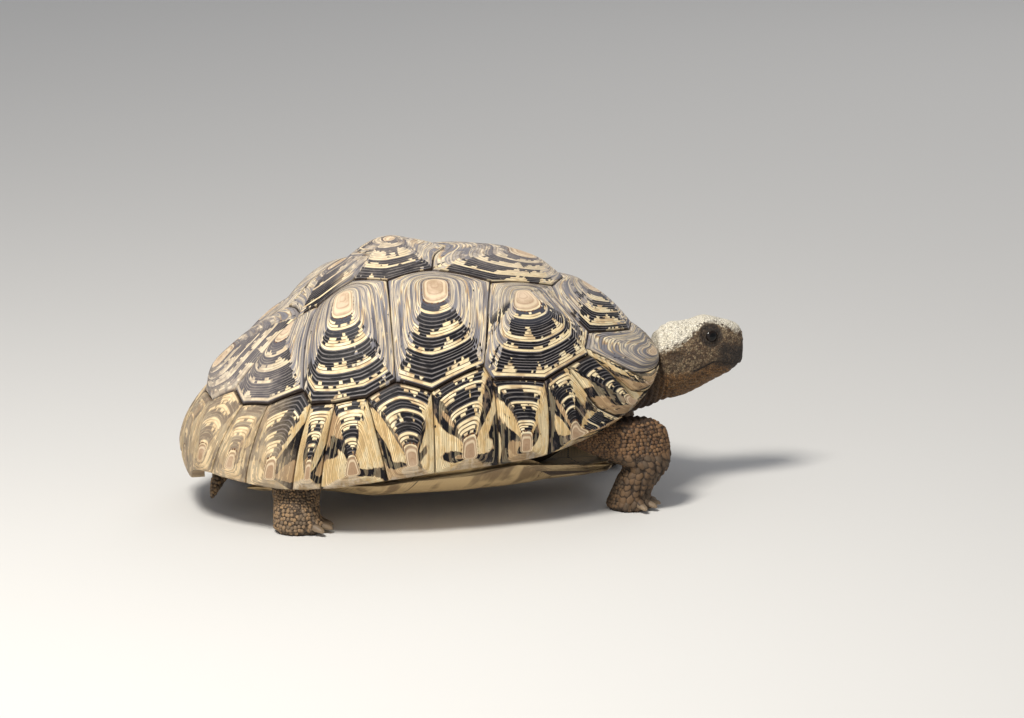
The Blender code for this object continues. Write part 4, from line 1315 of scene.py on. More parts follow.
@dataclass
class Skin:
    """One closed hide over the trunk, neck, head, jaws, legs, feet and tail."""

    dome: Dome = field(default_factory=Dome)
    limbs: tuple = LIMBS
    neck: Neck = field(default_factory=Neck)
    tail: Tail = field(default_factory=Tail)
    markings: Markings = field(default_factory=Markings)
    coat_depth: float = 0.0009
    head_depth: float = 0.0004
    cell: float = 0.0014
    sole: float = 0.0011
    trunk_floor: tuple = (0.116, 0.118, 0.052, 0.0315)
    trunk_wall: tuple = (0.157, 0.145, 0.106, 0.0620)
    trunk_reaches: tuple[float, ...] = (0.78, 0.62, 0.40, 0.18, 0.01)

    def tube(self, target: bmesh.types.BMesh, points: Callable, around: int, steps: int,
             depth: float) -> None:
        """Adds a closed tube to the target, its two ends filled.

        Args:
            target: The mesh to add to.
            points: Gives the surface by turn, share and depth.
            around: Faces round it.
            steps: Faces along it.
            depth: How far inside the solid it lies.
        """
        mesh, uv = grid_mesh(around, steps)
        place_verts(mesh, points(uv[:, 0], uv[:, 1], depth))
        close_tube(mesh)
        absorb(target, mesh)

    def trunk_points(self, turn: Array, share: Array, depth: float) -> Array:
        """The trunk's surface, from its floor up to the top of the dome.

        Args:
            turn: Share of the way round.
            share: Share of the way up.
            depth: How far inside.

        Returns:
            The points.
        """
        angle = math.tau * turn
        rings = []
        for front, rear, side, height in (self.trunk_floor, self.trunk_wall):
            length = np.where(np.cos(angle) > 0, front, rear) - depth
            rings.append(np.stack([length * np.cos(angle) + self.dome.shift_x,
                                   -(side - depth) * np.sin(angle),
                                   np.full_like(turn, height)], -1))
        for reach in self.trunk_reaches:
            places = np.stack([reach * np.cos(angle), -reach * np.sin(angle)], -1)
            rings.append(self.dome.under(places, self.dome.plate + 0.008 + depth, 0.014))
        rings = np.stack(rings)
        place = np.clip(share, 0, 1) * (len(rings) - 1)
        lower = np.minimum(place.astype(int), len(rings) - 2)
        rest = (place - lower)[:, None]
        index = np.arange(len(turn))
        return rings[lower, index] * (1 - rest) + rings[lower + 1, index] * rest

    def lumps(self) -> bmesh.types.BMesh:
        """All the closed volumes that make up the body.

        Returns:
            One mesh of them all.
        """
        body = bmesh.new()
        self.tube(body, self.trunk_points, 72, 24, self.coat_depth)
        self.tube(body, self.neck.points, 72, 150, self.head_depth)
        self.tube(body, self.tail.points, 24, 40, self.coat_depth)
        for limb in self.limbs:
            self.tube(body, limb.points, 56, 60, self.coat_depth)
            for root, way in limb.claw_lines():
                toe = bmesh.ops.create_uvsphere(body, u_segments=14, v_segments=10,
                                                radius=limb.claw_radius + 0.0010)["verts"]
                bmesh.ops.scale(body, verts=toe, vec=(1, 1, 0.95))
                bmesh.ops.translate(body, verts=toe, vec=root - way * 0.0030)
        return body

    def even(self, lumps: bmesh.types.BMesh) -> bpy.types.Mesh:
        """The volumes as one closed skin of small even faces, coarser where it is hidden.

        Args:
            lumps: The volumes, which are freed.

        Returns:
            The skin.
        """
        piece = added("hide_lumps", settled("hide_lumps", lumps))
        remesh = piece.modifiers.new("even", "REMESH")
        remesh.mode = "VOXEL"
        remesh.voxel_size = self.cell
        smooth = piece.modifiers.new("soften", "SMOOTH")
        smooth.factor = 0.5
        smooth.iterations = 6
        piece.data = self.applied(piece)
        piece.modifiers.clear()
        points = coordinates(piece.data)
        limbs = self.near_limbs(points, 0.004) & (points[:, 2] > 0.004) & (points[:, 2] < 0.078)
        hidden = self.hidden(points)
        left = 1.0
        for name, chosen, share in (("hidden", hidden, 0.93), ("limbs", limbs & ~hidden, 0.62)):
            group = piece.vertex_groups.new(name=name)
            group.add([int(i) for i in np.flatnonzero(chosen)], 1.0, "REPLACE")
            thin = piece.modifiers.new(name, "DECIMATE")
            thin.vertex_group = name
            gone = share * chosen.sum() / len(points)
            thin.ratio = 1 - gone / left
            left -= gone
        skin = self.applied(piece)
        bpy.data.objects.remove(piece)
        return skin

    @staticmethod
    def applied(piece: bpy.types.Object) -> bpy.types.Mesh:
        """The piece's mesh with its modifiers applied."""
        graph = bpy.context.evaluated_depsgraph_get()
        return bpy.data.meshes.new_from_object(piece.evaluated_get(graph))

    def drop_bubbles(self, mesh: bmesh.types.BMesh) -> None:
        """Removes the tiny closed bubbles that the even mesh leaves inside the skin.

        Args:
            mesh: The skin.
        """
        snout = max(mesh.verts, key=lambda vert: vert.co.x)
        kept, front = {snout}, [snout]
        while front:
            for edge in front.pop().link_edges:
                for vert in edge.verts:
                    if vert not in kept:
                        kept.add(vert)
                        front.append(vert)
        bubbles = [vert for vert in mesh.verts if vert not in kept]
        bmesh.ops.delete(mesh, geom=bubbles, context="VERTS")

    def hidden(self, points: Array) -> Array:
        """Which points no one can see, deep under the shell.

        Args:
            points: Places on the hide.

        Returns:
            True where hidden.
        """
        x, _, z = points.T
        ends = ((x > 0.085) | (x < -0.165)) & (z < 0.085)
        opening = (x > 0.140) | ((x > 0.118) & (z < 0.100))
        return ~(ends | (self.near_limbs(points, 0.014) & (z < 0.08)) | opening | (z < 0.028))

    def near_limbs(self, points: Array, reach: float) -> Array:
        """Which points lie in a leg or within reach of one, seen from above.

        Args:
            points: Places on the hide.
            reach: How near counts.

        Returns:
            True where near.
        """
        x, y, z = points.T
        near = np.zeros(len(points), bool)
        for limb in self.limbs:
            middle_x, middle_y, length, width = limb.rings(np.clip(z, 0, limb.sections[-1][0]))
            near |= np.hypot((x - middle_x) / (length + reach), (y - middle_y) / (width + reach)) < 1
        return near

    def build(self, material: bpy.types.Material) -> bpy.types.Object:
        """Makes the hide with its creases, eye sockets and mouth.

        Args:
            material: Its finish.

        Returns:
            The piece.
        """
        mesh = bmesh.new()
        mesh.from_mesh(self.even(self.lumps()))
        self.drop_bubbles(mesh)
        head = [e for e in mesh.edges if min(v.co.x for v in e.verts) > 0.168
                and min(v.co.z for v in e.verts) > 0.074]
        bmesh.ops.subdivide_edges(mesh, edges=head, cuts=1, use_grid_fill=True)
        front = [v for v in mesh.verts if v.co.x > 0.166 and v.co.z > 0.072]
        for _ in range(3):
            bmesh.ops.smooth_vert(mesh, verts=front, factor=0.5, use_axis_x=True,
                                  use_axis_y=True, use_axis_z=True)
        mesh.normal_update()
        points = np.array([v.co for v in mesh.verts])
        normals = np.array([v.normal for v in mesh.verts])
        points = points + normals * self.creases(points)[:, None]
        points = self.open_eyes(points)
        points[:, 2] = np.where(points[:, 2] < self.sole, 0.0, points[:, 2])
        place_verts(mesh, points)
        first, second = self.markings.at(points)
        replaced = ["trunk", "neck", "head", "jaw", "tail"]
        replaced += [f"{limb.kind.value}_{part}_{limb.side.word}" for limb in self.limbs
                     for part in ("leg", "foot")]
        return finished("hide", mesh, material, tuple(replaced),
                        {"marks": first, "limbs": second}, sharp=80)

    def creases(self, points: Array) -> Array:
        """How far each point of the hide is raised or sunk.

        Args:
            points: Places on the hide.

        Returns:
            Heights in metres.
        """
        x, y, z = points[:, 0], np.abs(points[:, 1]), points[:, 2]
        on_head = between(x, 0.183, 0.188) * between(x, 0.205, 0.198)
        beside = between(y, 0.012, 0.018)
        wander = np.array([noise.noise(Vector(p) * 90) for p in points])
        slow = np.array([noise.noise(Vector(p) * 35 + Vector((3, 1, 7))) for p in points])
        head = between(x, 0.166, 0.180) * between(z, 0.070, 0.078)
        gap = z - along(MOUTH_LINE, x)
        at_mouth = between(x, 0.1985, 0.2025)
        lift = -0.0012 * hill(gap, 0, 0.0007) * at_mouth
        lift += 0.0006 * between(gap, 0.0, 0.0012) * between(gap, 0.011, 0.004) * between(
            x, 0.214, 0.232)
        lift -= 0.0007 * between(gap, 0.0, -0.0010) * between(gap, -0.012, -0.006) * at_mouth
        ridge = z - np.interp(x, (0.1858, 0.1984), (0.1309, 0.1385))
        lift += (0.0008 * hill(ridge, 0, 0.0013) - 0.0007 * hill(ridge, -0.0030, 0.0018)) * on_head
        ear_x, ear_z = self.markings.ear
        ear = np.hypot((x - ear_x) / 0.0078, (z - ear_z) / 0.0048)
        lift += (0.0005 * hill(ear, 1.35, 0.22) - 0.0011 * between(ear, 1.15, 0.75)) * beside
        nostril = Markings.nostril(points)
        lift -= 0.0026 * between(nostril, 0.0024, 0.0010)
        lift += 0.0005 * hill(nostril, 0.0034, 0.0010)
        throat = head * between(gap, -0.002, -0.007)
        lift -= 0.0006 * throat * (0.5 + 0.5 * np.sin((z + 0.0022 * wander + 0.10 * (x - 0.2))
                                                      * math.tau / 0.0036)) ** 2
        lift -= 0.0004 * throat * (0.5 + 0.5 * slow)
        folds = between(x, 0.186, 0.176) * between(x, 0.11, 0.125) * between(z, 0.05, 0.065)
        lift -= 0.0013 * folds * (0.5 + 0.5 * np.sin((x + 0.004 * slow) * math.tau / 0.0062))
        lift += 0.0004 * slow * (1 - head) + 0.00018 * wander * (1 - head)
        soft = (1 - between(x, 0.150, 0.166)) * between(z, 0.004, 0.012)
        lift -= 0.0007 * soft * np.abs(wander) ** 0.5 * 0.6
        return lift

    def open_eyes(self, points: Array) -> Array:
        """Draws the hide into a lidded opening over each eyeball.

        Args:
            points: Places on the hide.

        Returns:
            The places moved.
        """
        for side in (-1, 1):
            centre = np.array(EYE_CENTRE) * [1, side, 1]
            axis = unit(np.array([0.24, side * 0.95, 0.10]))
            ahead = unit(np.cross(np.cross(axis, [1.0, 0, 0]), axis))
            up = unit(np.cross(axis, ahead)) * side
            up = -up if up[2] < 0 else up
            offset = points - centre
            distance = np.linalg.norm(offset, axis=1)
            way = offset / distance[:, None]
            first, second, out = way @ ahead, way @ up, way @ axis
            second_size = np.where(second > 0, 0.70, 0.76)
            ring = np.hypot(first / 0.86, second / second_size)
            target = 0.0054 + 0.0022 * between(ring, 0.90, 1.04)
            target += 0.0004 * hill(ring, 1.16, 0.10) - 0.0004 * hill(ring, 1.42, 0.10)
            weight = between(ring, 1.62, 1.25) * between(out, -0.1, 0.1) * between(
                distance, 0.014, 0.011)
            new = distance * (1 - weight) + target * weight
            points = centre + way * new[:, None]
        return points


def coordinates(data: bpy.types.Mesh) -> Array:
    """The mesh's vertices as an array.

    Args:
        data: The mesh.

    Returns:
        One row for each vertex.
    """
    points = np.empty(len(data.vertices) * 3, np.float32)
    data.vertices.foreach_get("co", points)
    return points.reshape(-1, 3).astype(float)


# ---------------------------------------------------------------- scales and claws
@dataclass(frozen=True)
class ScaleKind:
    """One kind of scale, sized in metres."""

    spacing: float
    height: float
    length: float
    tilt: float
    sides: int
    point: float


GRANULE = ScaleKind(spacing=0.0025, height=0.00075, length=1.0, tilt=4, sides=7, point=1.0)
PEBBLE = ScaleKind(spacing=0.0036, height=0.0010, length=1.05, tilt=8, sides=7, point=1.08)
SHINGLE = ScaleKind(spacing=0.0062, height=0.0016, length=1.25, tilt=17, sides=9, point=1.30)


@dataclass
class ScaleCoat:
    """Horny scales over one limb, joined into one mesh."""

    surface: Callable
    name: str
    length: float
    top: float
    kinds: Callable
    tile: tuple[float, float, float, float]
    seed: int = 0
    row_pitch: float = 0.86
    samples: int = 49
    tall: float = 1.2
    sunk: float = 0.45
    clear: float = 0.0022
    lowest: float = 0.0006
    patch: float = 0.0012

    def template(self, kind: ScaleKind) -> tuple[Array, list]:
        """One scale of unit radius: a low drum with a domed top, pointed one way.

        Args:
            kind: The kind of scale.

        Returns:
            Its corners and its faces.
        """
        mesh = bmesh.new()
        bmesh.ops.create_cone(mesh, cap_ends=True, segments=kind.sides, radius1=1.0,
                              radius2=0.66, depth=1.0)
        lid = max(mesh.faces, key=lambda face: face.calc_center_median().z)
        peak = bmesh.ops.poke(mesh, faces=[lid])["verts"]
        for vert in peak:
            vert.co.z += 0.22
        for vert in mesh.verts:
            vert.co.z += 0.5
            if vert.co.x > 0:
                vert.co.x *= kind.point
        bmesh.ops.triangulate(mesh, faces=mesh.faces)
        bmesh.ops.recalc_face_normals(mesh, faces=mesh.faces)
        points = np.array([v.co for v in mesh.verts])
        faces = [[v.index for v in face.verts] for face in mesh.faces]
        mesh.free()
        return points, faces

    def roots(self, kind: ScaleKind, tree: BVHTree, chance: np.random.Generator) -> list[tuple]:
        """Where scales of one kind stand: (turn, share, point, normal, down the limb).

        Args:
            kind: The kind of scale.
            tree: The hide's surface.
            chance: Where its unevenness comes from.

        Returns:
            The roots, row by row.
        """
        roots = []
        rows = int(self.length / (kind.spacing * self.row_pitch))
        round_turn = np.linspace(0, 1, self.samples)
        for row in range(rows):
            share = (row + 0.5) / rows * self.top
            ring = self.surface(round_turn, np.full(self.samples, share), 0.0)
            girth = np.linalg.norm(np.diff(ring, axis=0), axis=1)
            run = np.concatenate([[0], np.cumsum(girth)])
            count = int(run[-1] / kind.spacing)
            steps = np.arange(count) + 0.5 * (row % 2) + 0.18 * chance.standard_normal(count)
            turns = np.interp(steps / count % 1 * run[-1], run, round_turn)
            here = share + 0.15 * chance.standard_normal(count) / rows * self.top
            starts = self.surface(turns, np.clip(here, 0, 1), 0.0)
            ends = self.surface(turns, np.clip(here - 0.01, 0, 1), 0.0)
            for turn, level, start, end in zip(turns, here, starts, ends):
                if self.kinds(start) is not kind:
                    continue
                point, normal, _, _ = tree.find_nearest(Vector(start), 0.004)
                if point is not None and point.z > self.clear:
                    roots.append((turn, level, np.array(point), np.array(normal), end - start))
        return roots

    def build(self, tree: BVHTree, markings: Markings,
              material: bpy.types.Material) -> bpy.types.Object:
        """Sets every scale on the skin and joins them.

        Args:
            tree: The hide's surface.
            markings: The hide's markings.
            material: The finish.

        Returns:
            The piece.
        """
        chance = np.random.default_rng(self.seed)
        points, faces, unwrap, tones, count = [], [], [], [], 0
        for kind in (GRANULE, PEBBLE, SHINGLE):
            shape, sides = self.template(kind)
            for turn, share, point, normal, down in self.roots(kind, tree, chance):
                along_limb = unit(down - normal * (down @ normal))
                across = np.cross(normal, along_limb)
                lean = math.radians(kind.tilt + 4 * chance.standard_normal())
                axis = along_limb * math.cos(lean) + normal * math.sin(lean)
                rise = np.cross(across, axis)
                rise = rise if rise @ normal > 0 else -rise
                size = kind.spacing * (0.59 + 0.05 * chance.standard_normal())
                twist = 0.25 * chance.standard_normal()
                axis, across = (axis * math.cos(twist) + across * math.sin(twist),
                                across * math.cos(twist) - axis * math.sin(twist))
                local = shape * [size * kind.length, size, kind.height]
                scale = point - normal * kind.height * self.sunk + (
                    local[:, :1] * axis + local[:, 1:2] * across + local[:, 2:] * rise)
                scale[:, 2] = np.maximum(scale[:, 2], self.lowest)
                points.append(scale)
                faces += [[i + count for i in side] for side in sides]
                count += len(shape)
                left, low, wide, tall = self.tile
                place = np.array([left + turn * wide, low + share * tall])
                unwrap.append(place + shape[:, :2] * self.patch)
                tone = np.full(len(shape), chance.random())
                tones.append(np.stack([shape[:, 2] / self.tall, tone, np.zeros(len(shape))], 1))
        data = bpy.data.meshes.new(self.name)
        points = np.concatenate(points)
        data.from_pydata(points.tolist(), [], faces)
        uv = np.concatenate(unwrap)
        loops = np.empty(len(data.loops), int)
        data.loops.foreach_get("vertex_index", loops)
        layer = data.uv_layers.new(name="OFBake")
        layer.data.foreach_set("uv", uv[loops].astype(np.float32).ravel())
        mesh = bmesh.new()
        mesh.from_mesh(data)
        first, second = markings.at(points)
        return finished(self.name, mesh, material, (),
                        {"marks": first, "limbs": second, "scale": np.concatenate(tones)},
                        sharp=50)


@dataclass
class Claws:
    """Blunt, slightly hooked claws of one foot."""

    limb: Limb
    sink: float = 0.0055
    tip: float = 0.40

    def build(self, material: bpy.types.Material) -> bpy.types.Object:
        """All the claws of the foot as one piece.

        Args:
            material: Their finish.

        Returns:
            The piece.
        """
        foot = bmesh.new()
        for root, way in self.limb.claw_lines():
            mesh, uv = grid_mesh(16, 14)
            share = uv[:, 1]
            angle = math.tau * uv[:, 0]
            long = self.limb.claw_length + self.sink
            end_height = 0.0010 + self.limb.claw_radius * self.tip
            radius = self.limb.claw_radius * (1 - (1 - self.tip) * share ** 1.3) * 0.96
            radius *= np.sqrt(np.clip(1 - np.clip((share - 0.86) / 0.14, 0, 1) ** 2 * 0.985, 0, 1))
            height = root.z + 0.0008 + (end_height - root.z) * share ** 1.25
            out = -self.sink + long * share
            side = np.cos(angle) * radius
            up = np.sin(angle) * radius * np.where(np.sin(angle) > 0, 0.92, 0.62)
            places = (np.array(root) * [1, 1, 0] + out[:, None] * np.array(way)
                      + side[:, None] * np.array([-way.y, way.x, 0])
                      + (height + up)[:, None] * np.array([0, 0, 1.0]))
            places[:, 2] = np.maximum(places[:, 2], 0.0006)
            place_verts(mesh, places)
            close_tube(mesh)
            absorb(foot, mesh)
        return finished(f"claws_{self.limb.label}", foot, material, sharp=60)


@dataclass(frozen=True)
class ClawHorn:
    """Worn horn, dark at the root and paler to the tip."""

    root: Colour = (0.055, 0.035, 0.022)
    tip: Colour = (0.36, 0.26, 0.16)

    def make(self) -> bpy.types.Material:
        """The material.

        Returns:
            The finish.
        """
        g = Graph("ClawHorn")
        place = g.place()
        streak = g.noise(g.stretched(place, (90, 260, 260)), 1.0, 3.0)
        height = g.split(place)[2]
        colour = g.mix(height.step(0.011, 0.002) * 0.6 + streak * 0.4, self.root, self.tip)
        normal = g.bump(streak, 0.0003)
        return g.surface(Base_Color=colour, Roughness=0.45 + streak * 0.25, Normal=normal)


@dataclass(frozen=True)
class Hide:
    """Skin and scales: one set of markings for both."""

    # Pale crown, brightened partly as painted sunlight on the top of the head.
    crown: Colour = (0.96, 0.89, 0.74)
    side: Colour = (0.140, 0.078, 0.036)
    olive: Colour = (0.28, 0.20, 0.112)
    throat: Colour = (0.26, 0.128, 0.040)
    # Tones of the dark marks, which include painted shade round the eyes, in the mouth slit and in
    # the nostrils.
    dark: Colour = (0.014, 0.009, 0.006)
    # Front-leg browns, darkened partly as painted shade from the shell over them.
    arm: Colour = (0.130, 0.060, 0.022)
    forearm: Colour = (0.088, 0.054, 0.029)
    leg: Colour = (0.22, 0.150, 0.090)
    # Painted shade in the chinks between granules and scales; also a random dark tone.
    crease: Colour = (0.030, 0.017, 0.009)
    # Front-leg scale tops, darkened partly as painted shade from the shell.
    arm_scale: Colour = (0.215, 0.118, 0.050)
    leg_scale: Colour = (0.33, 0.20, 0.092)
    dark_scale: Colour = (0.090, 0.060, 0.034)
    ivory: Colour = (0.76, 0.67, 0.47)
    stain: Colour = (0.20, 0.15, 0.085)
    # Tone of the dark marks and of the painted shade round the eyes, mouth slit and nostrils.
    soot: Colour = (0.075, 0.046, 0.026)
    warp: tuple[float, float, float] = (0.003, 0.003, 0.003)
    fine_cells: float = 520.0
    broad_cells: float = 230.0

    def make(self, name: str, scaled: bool) -> bpy.types.Material:
        """The material.

        Args:
            name: Its name.
            scaled: True for the scales, whose tops are paler and smoother than the skin and whose
                roots carry painted shade.

        Returns:
            The finish.
        """
        g = Graph(name)
        crown, dark, throat = g.split(g.attribute("marks"))
        forearm, hind, head = g.split(g.attribute("limbs"))
        place = g.place()
        mottle = g.noise(place, 140.0, 4.0, 0.6)
        broad = g.noise(place, 45.0, 3.0, 0.6)
        # Limb browns; the front legs' carry painted shade from the shell in part.
        limb = g.mix(forearm, self.arm, self.forearm)
        limb = g.mix(hind, limb, self.leg)
        if scaled:
            rise, tone, _ = g.split(g.attribute("scale"))
            tone = tone * 0.6 + broad * 0.7
            # Scale tops paler at random, less so on the forearms as part of their painted shade.
            light = g.mix(hind, self.arm_scale, self.leg_scale)
            top = g.mix(tone.step(0.40, 0.95) * (0.8 - forearm * 0.35), limb, light)
            top = g.mix(tone.step(0.60, 0.30) * 0.75, top, self.dark_scale)
            # Each scale darkens towards its root: painted shade where it meets the skin. The mottle
            # after it is random.
            colour = g.mix(rise.step(0.80, 0.30) * 0.85, top, self.crease)
            colour = g.mix(mottle.step(0.45, 0.75) * 0.35, colour, self.crease)
            grain = g.noise(place, 1400.0, 3.0)
            normal = g.bump(grain * 0.6 + mottle * 0.4, 0.00030)
            return g.surface(Base_Color=colour, Roughness=0.62 + mottle * 0.2, Normal=normal)
        warped = g.vectors("ADD", place, g.stretched(g.join(mottle, broad, mottle), self.warp))
        grains = g.cells(warped, self.fine_cells)
        plates = g.cells(warped, self.broad_cells)
        own = g.cell_tone(warped, self.fine_cells)
        grit = g.cell_tone(warped, self.broad_cells)
        # The limb skin between the scales, darkened towards the crease colour as painted shade.
        limb = g.mix(0.75 - grit * 0.45, limb, self.crease)
        face = g.mix((broad * 0.6 + own * 0.4).step(0.35, 0.65), self.side, self.olive)
        face = g.mix(throat, face, self.throat)
        face = g.mix((own * 0.5 + mottle * 0.5).step(0.50, 0.30) * 0.55, face, self.crease)
        # The pale crown: pale skin, brightened partly as painted sunlight from above.
        edge = crown * 1.3 + (mottle - 0.5) * 0.9 + (own - 0.5) * 0.6
        pale = g.mix(own.step(0.3, 0.9) * 0.35, self.crown, self.ivory)
        face = g.mix(edge.step(0.30, 0.80), face, pale)
        stain = (mottle * 0.6 + own * 0.4).step(0.58, 0.70)
        face = g.mix(stain * (0.45 - crown * 0.38), face, self.stain)
        # Dark marks: the beak, lids and ears, with painted shade in the eye sockets, mouth slit and
        # nostrils.
        dark_mark_and_shade = (dark + (mottle - 0.5) * 0.8 + (own - 0.5) * 0.6).step(0.25, 0.80)
        soot = g.mix((own * 0.6 + mottle * 0.4).step(0.50, 0.85), self.dark, self.soot)
        face = g.mix(dark_mark_and_shade * 0.96, face, soot)
        colour = g.mix(head, limb, face)
        # Chinks between granules and broad plates: painted shade.
        chink = grains.step(0.13, 0.02)
        colour = g.mix(chink * (0.75 - crown * 0.35), colour, self.crease)
        colour = g.mix(plates.step(0.09, 0.02) * (1 - head) * 0.8, colour, self.crease)
        normal = g.bump(grains.step(0.0, 0.28), 0.00045)
        normal = g.bump(plates.step(0.0, 0.16), 0.00055, normal)
        normal = g.bump(g.noise(place, 1500.0, 2.0), 0.00012, normal)
        return g.surface(Base_Color=colour, Roughness=0.60 + mottle * 0.15, Normal=normal)


# ---------------------------------------------------------------- eyes
@dataclass(frozen=True)
class EyeGloss:
    """A wet dark eye: black pupil, brown iris and a dark ring round it."""

    iris: Colour = (0.013, 0.006, 0.003)
    iris_fleck: Colour = (0.005, 0.003, 0.002)
    pupil: Colour = (0.002, 0.002, 0.002)
    ring: Colour = (0.005, 0.004, 0.004)

    def make(self, name: str) -> bpy.types.Material:
        """The material, which reads how far each place faces the gaze.

        Args:
            name: Its name.

        Returns:
            The finish.
        """
        g = Graph(name)
        aim, first, second = g.split(g.attribute("gaze"))
        fleck = g.noise(g.join(first * 6, second * 6, 0.0), 4.0, 3.0)
        iris = g.mix(fleck, self.iris, self.iris_fleck)
        colour = g.mix(aim.step(0.87, 0.89), iris, self.pupil)
        colour = g.mix(aim.step(0.64, 0.58), colour, self.ring)
        return g.surface(Base_Color=colour, Roughness=0.06 + fleck * 0.05,
                         Specular_IOR_Level=0.30)


@dataclass
class Eye:
    """A dark eyeball, slightly pointed where it looks."""

    side: Side
    axis: tuple[float, float, float] = (0.24, 0.95, 0.08)

    def build(self) -> bpy.types.Object:
        """The eyeball, turned to look along its axis.

        Returns:
            The piece.
        """
        mesh = bmesh.new()
        bmesh.ops.create_uvsphere(mesh, u_segments=48, v_segments=32, radius=EYE_RADIUS)
        sign = self.side.value
        look = Vector((self.axis[0], self.axis[1] * sign, self.axis[2])).normalized()
        for vert in mesh.verts:
            tip = max(vert.co.z / EYE_RADIUS - 0.80, 0.0)
            vert.co *= 1 + 0.30 * tip * tip
        turn = look.to_track_quat("Z", "Y").to_matrix()
        bmesh.ops.rotate(mesh, verts=mesh.verts, matrix=turn)
        centre = Vector((EYE_CENTRE.x, EYE_CENTRE.y * sign, EYE_CENTRE.z))
        bmesh.ops.translate(mesh, verts=mesh.verts, vec=centre)
        facing = np.array([(v.co - centre).normalized().dot(look) for v in mesh.verts])
        swirl = np.array([v.co - centre for v in mesh.verts]) * 100
        gaze = np.stack([facing, swirl[:, 0], swirl[:, 2]], 1)
        material = EyeGloss().make(f"EyeBall_{self.side.word}")
        return finished(f"eyeball_{self.side.word}", mesh, material,
                        (f"eye_{self.side.word}",), {"gaze": gaze}, sharp=80)


# ---------------------------------------------------------------- belly plate
@dataclass
class BellyPlate:
    """The plastron: a thick horny plate with six pairs of plates marked on it."""

    sections: tuple = (
        (0.1271, 0.022, 0.0250), (0.1191, 0.040, 0.0255), (0.0961, 0.055, 0.0265),
        (0.0631, 0.066, 0.0280), (0.0431, 0.100, 0.0430), (0.0211, 0.1215, 0.0545),
        (-0.0189, 0.1290, 0.0490), (-0.0589, 0.1295, 0.0470), (-0.0989, 0.1260, 0.0430),
        (-0.1179, 0.1000, 0.0370), (-0.1349, 0.066, 0.0275), (-0.1689, 0.058, 0.0265),
        (-0.1909, 0.050, 0.0262), (-0.2029, 0.040, 0.0262))
    floor: float = 0.020
    thickness: float = 0.008
    seams: tuple[float, ...] = (0.092, 0.047, 0.030, -0.098, -0.152)
    notch: float = 0.016
    point: float = 0.006

    def points(self, turn: Array, share: Array) -> Array:
        """The plate's surface: turn below 0.5 is the underside, from right to left.

        Args:
            turn: Share of the way round.
            share: Share of the length.

        Returns:
            The points.
        """
        table = np.array(self.sections)
        x = table[0, 0] + (table[-1, 0] - table[0, 0]) * share
        half = np.interp(-x, -table[:, 0], table[:, 1])
        edge = np.interp(-x, -table[:, 0], table[:, 2])
        under = turn < 0.5
        across = np.where(under, turn * 4 - 1, 3 - turn * 4)
        across = np.clip(across, -1, 1)
        height = self.floor + (edge - self.floor) * np.abs(across) ** 4
        back = self.notch * (1 - np.abs(across)) * between(-0.0389 - x, 0.125, 0.165)
        fore = self.point * (1 - np.abs(across)) * between(x + 0.0389, 0.13, 0.165)
        rise = np.where(under, 0.0, self.thickness)
        return np.stack([x + back + fore, across * half, height + rise], -1)

    def build(self, material: bpy.types.Material) -> bpy.types.Object:
        """The plate with grooved seams and growth lines.

        Args:
            material: Its finish.

        Returns:
            The piece.
        """
        mesh, uv = grid_mesh(176, 240)
        points = self.points(uv[:, 0], uv[:, 1])
        under = (uv[:, 0] < 0.5).astype(float)
        wobble = np.array([noise.noise(Vector(p) * 30) for p in points]) * 0.0035
        to_middle = np.abs(points[:, 1] + wobble)
        slant = points[:, 0] - np.abs(points[:, 1]) * 0.22
        cross = np.stack([np.abs(slant + wobble - x) for x in self.seams])
        nearest = np.minimum(to_middle, cross.min(0))
        plate = np.searchsorted(-np.array(self.seams), -slant) + (points[:, 1] > 0) * 10.0
        lines = 0.00022 * (0.5 + 0.5 * np.cos(nearest * math.tau / 0.0030)) * between(
            nearest, 0.030, 0.006)
        sink = under * (0.0011 * hill(nearest, 0, 0.0008) + lines)
        points[:, 2] += sink
        place_verts(mesh, points)
        label_verts(mesh, {"growth": np.stack([nearest * 100, plate, under], 1)})
        close_tube(mesh)
        return finished("belly_plate", mesh, material, ("plastron",), sharp=50)


@dataclass(frozen=True)
class BellyHorn:
    """Tan horn with brown shading and fine growth lines."""

    tan: Colour = (0.56, 0.40, 0.20)
    brown: Colour = (0.13, 0.075, 0.035)

    def make(self) -> bpy.types.Material:
        """The material, which reads the distance to the nearest seam.

        Returns:
            The finish.
        """
        g = Graph("BellyHorn")
        seam, plate, _ = g.split(g.attribute("growth"))
        place = g.place()
        cloud = g.noise(g.stretched(place, (1, 1, 0.3)), 26.0, 3.0)
        rays = g.noise(g.join(plate * 7.0, seam * 0.5, cloud), 1.6, 3.0)
        fine = g.noise(place, 420.0, 4.0, 0.65)
        colour = g.mix((cloud * 0.6 + rays * 0.4).step(0.50, 0.62) * 0.75, self.tan, self.brown)
        lines = (seam / 0.30).rest().step(0.30, 0.0)
        colour = g.mix(lines * seam.step(3.0, 0.8) * 0.45, colour, self.brown)
        colour = g.mix(seam.step(0.10, 0.04), colour, (0.05, 0.028, 0.014))
        colour = g.mix(fine.step(0.55, 0.85) * 0.4, colour, (0.36, 0.26, 0.16))
        normal = g.bump(fine, 0.0003)
        return g.surface(Base_Color=colour, Roughness=0.5 + fine * 0.2, Normal=normal)


# ---------------------------------------------------------------- room
@dataclass(frozen=True)
class FloorPaint:
    """Pale matt paint, very slightly cloudy."""

    light: Colour = (0.66, 0.65, 0.63)
    cloud: Colour = (0.60, 0.59, 0.57)

    def make(self) -> bpy.types.Material:
        """The material.

        Returns:
            The finish.
        """
        g = Graph("FloorPaint")
        colour = g.mix(g.noise(g.place(), 3.0, 3.0) * 0.10, self.light, self.cloud)
        return g.surface(Base_Color=colour, Roughness=0.85)


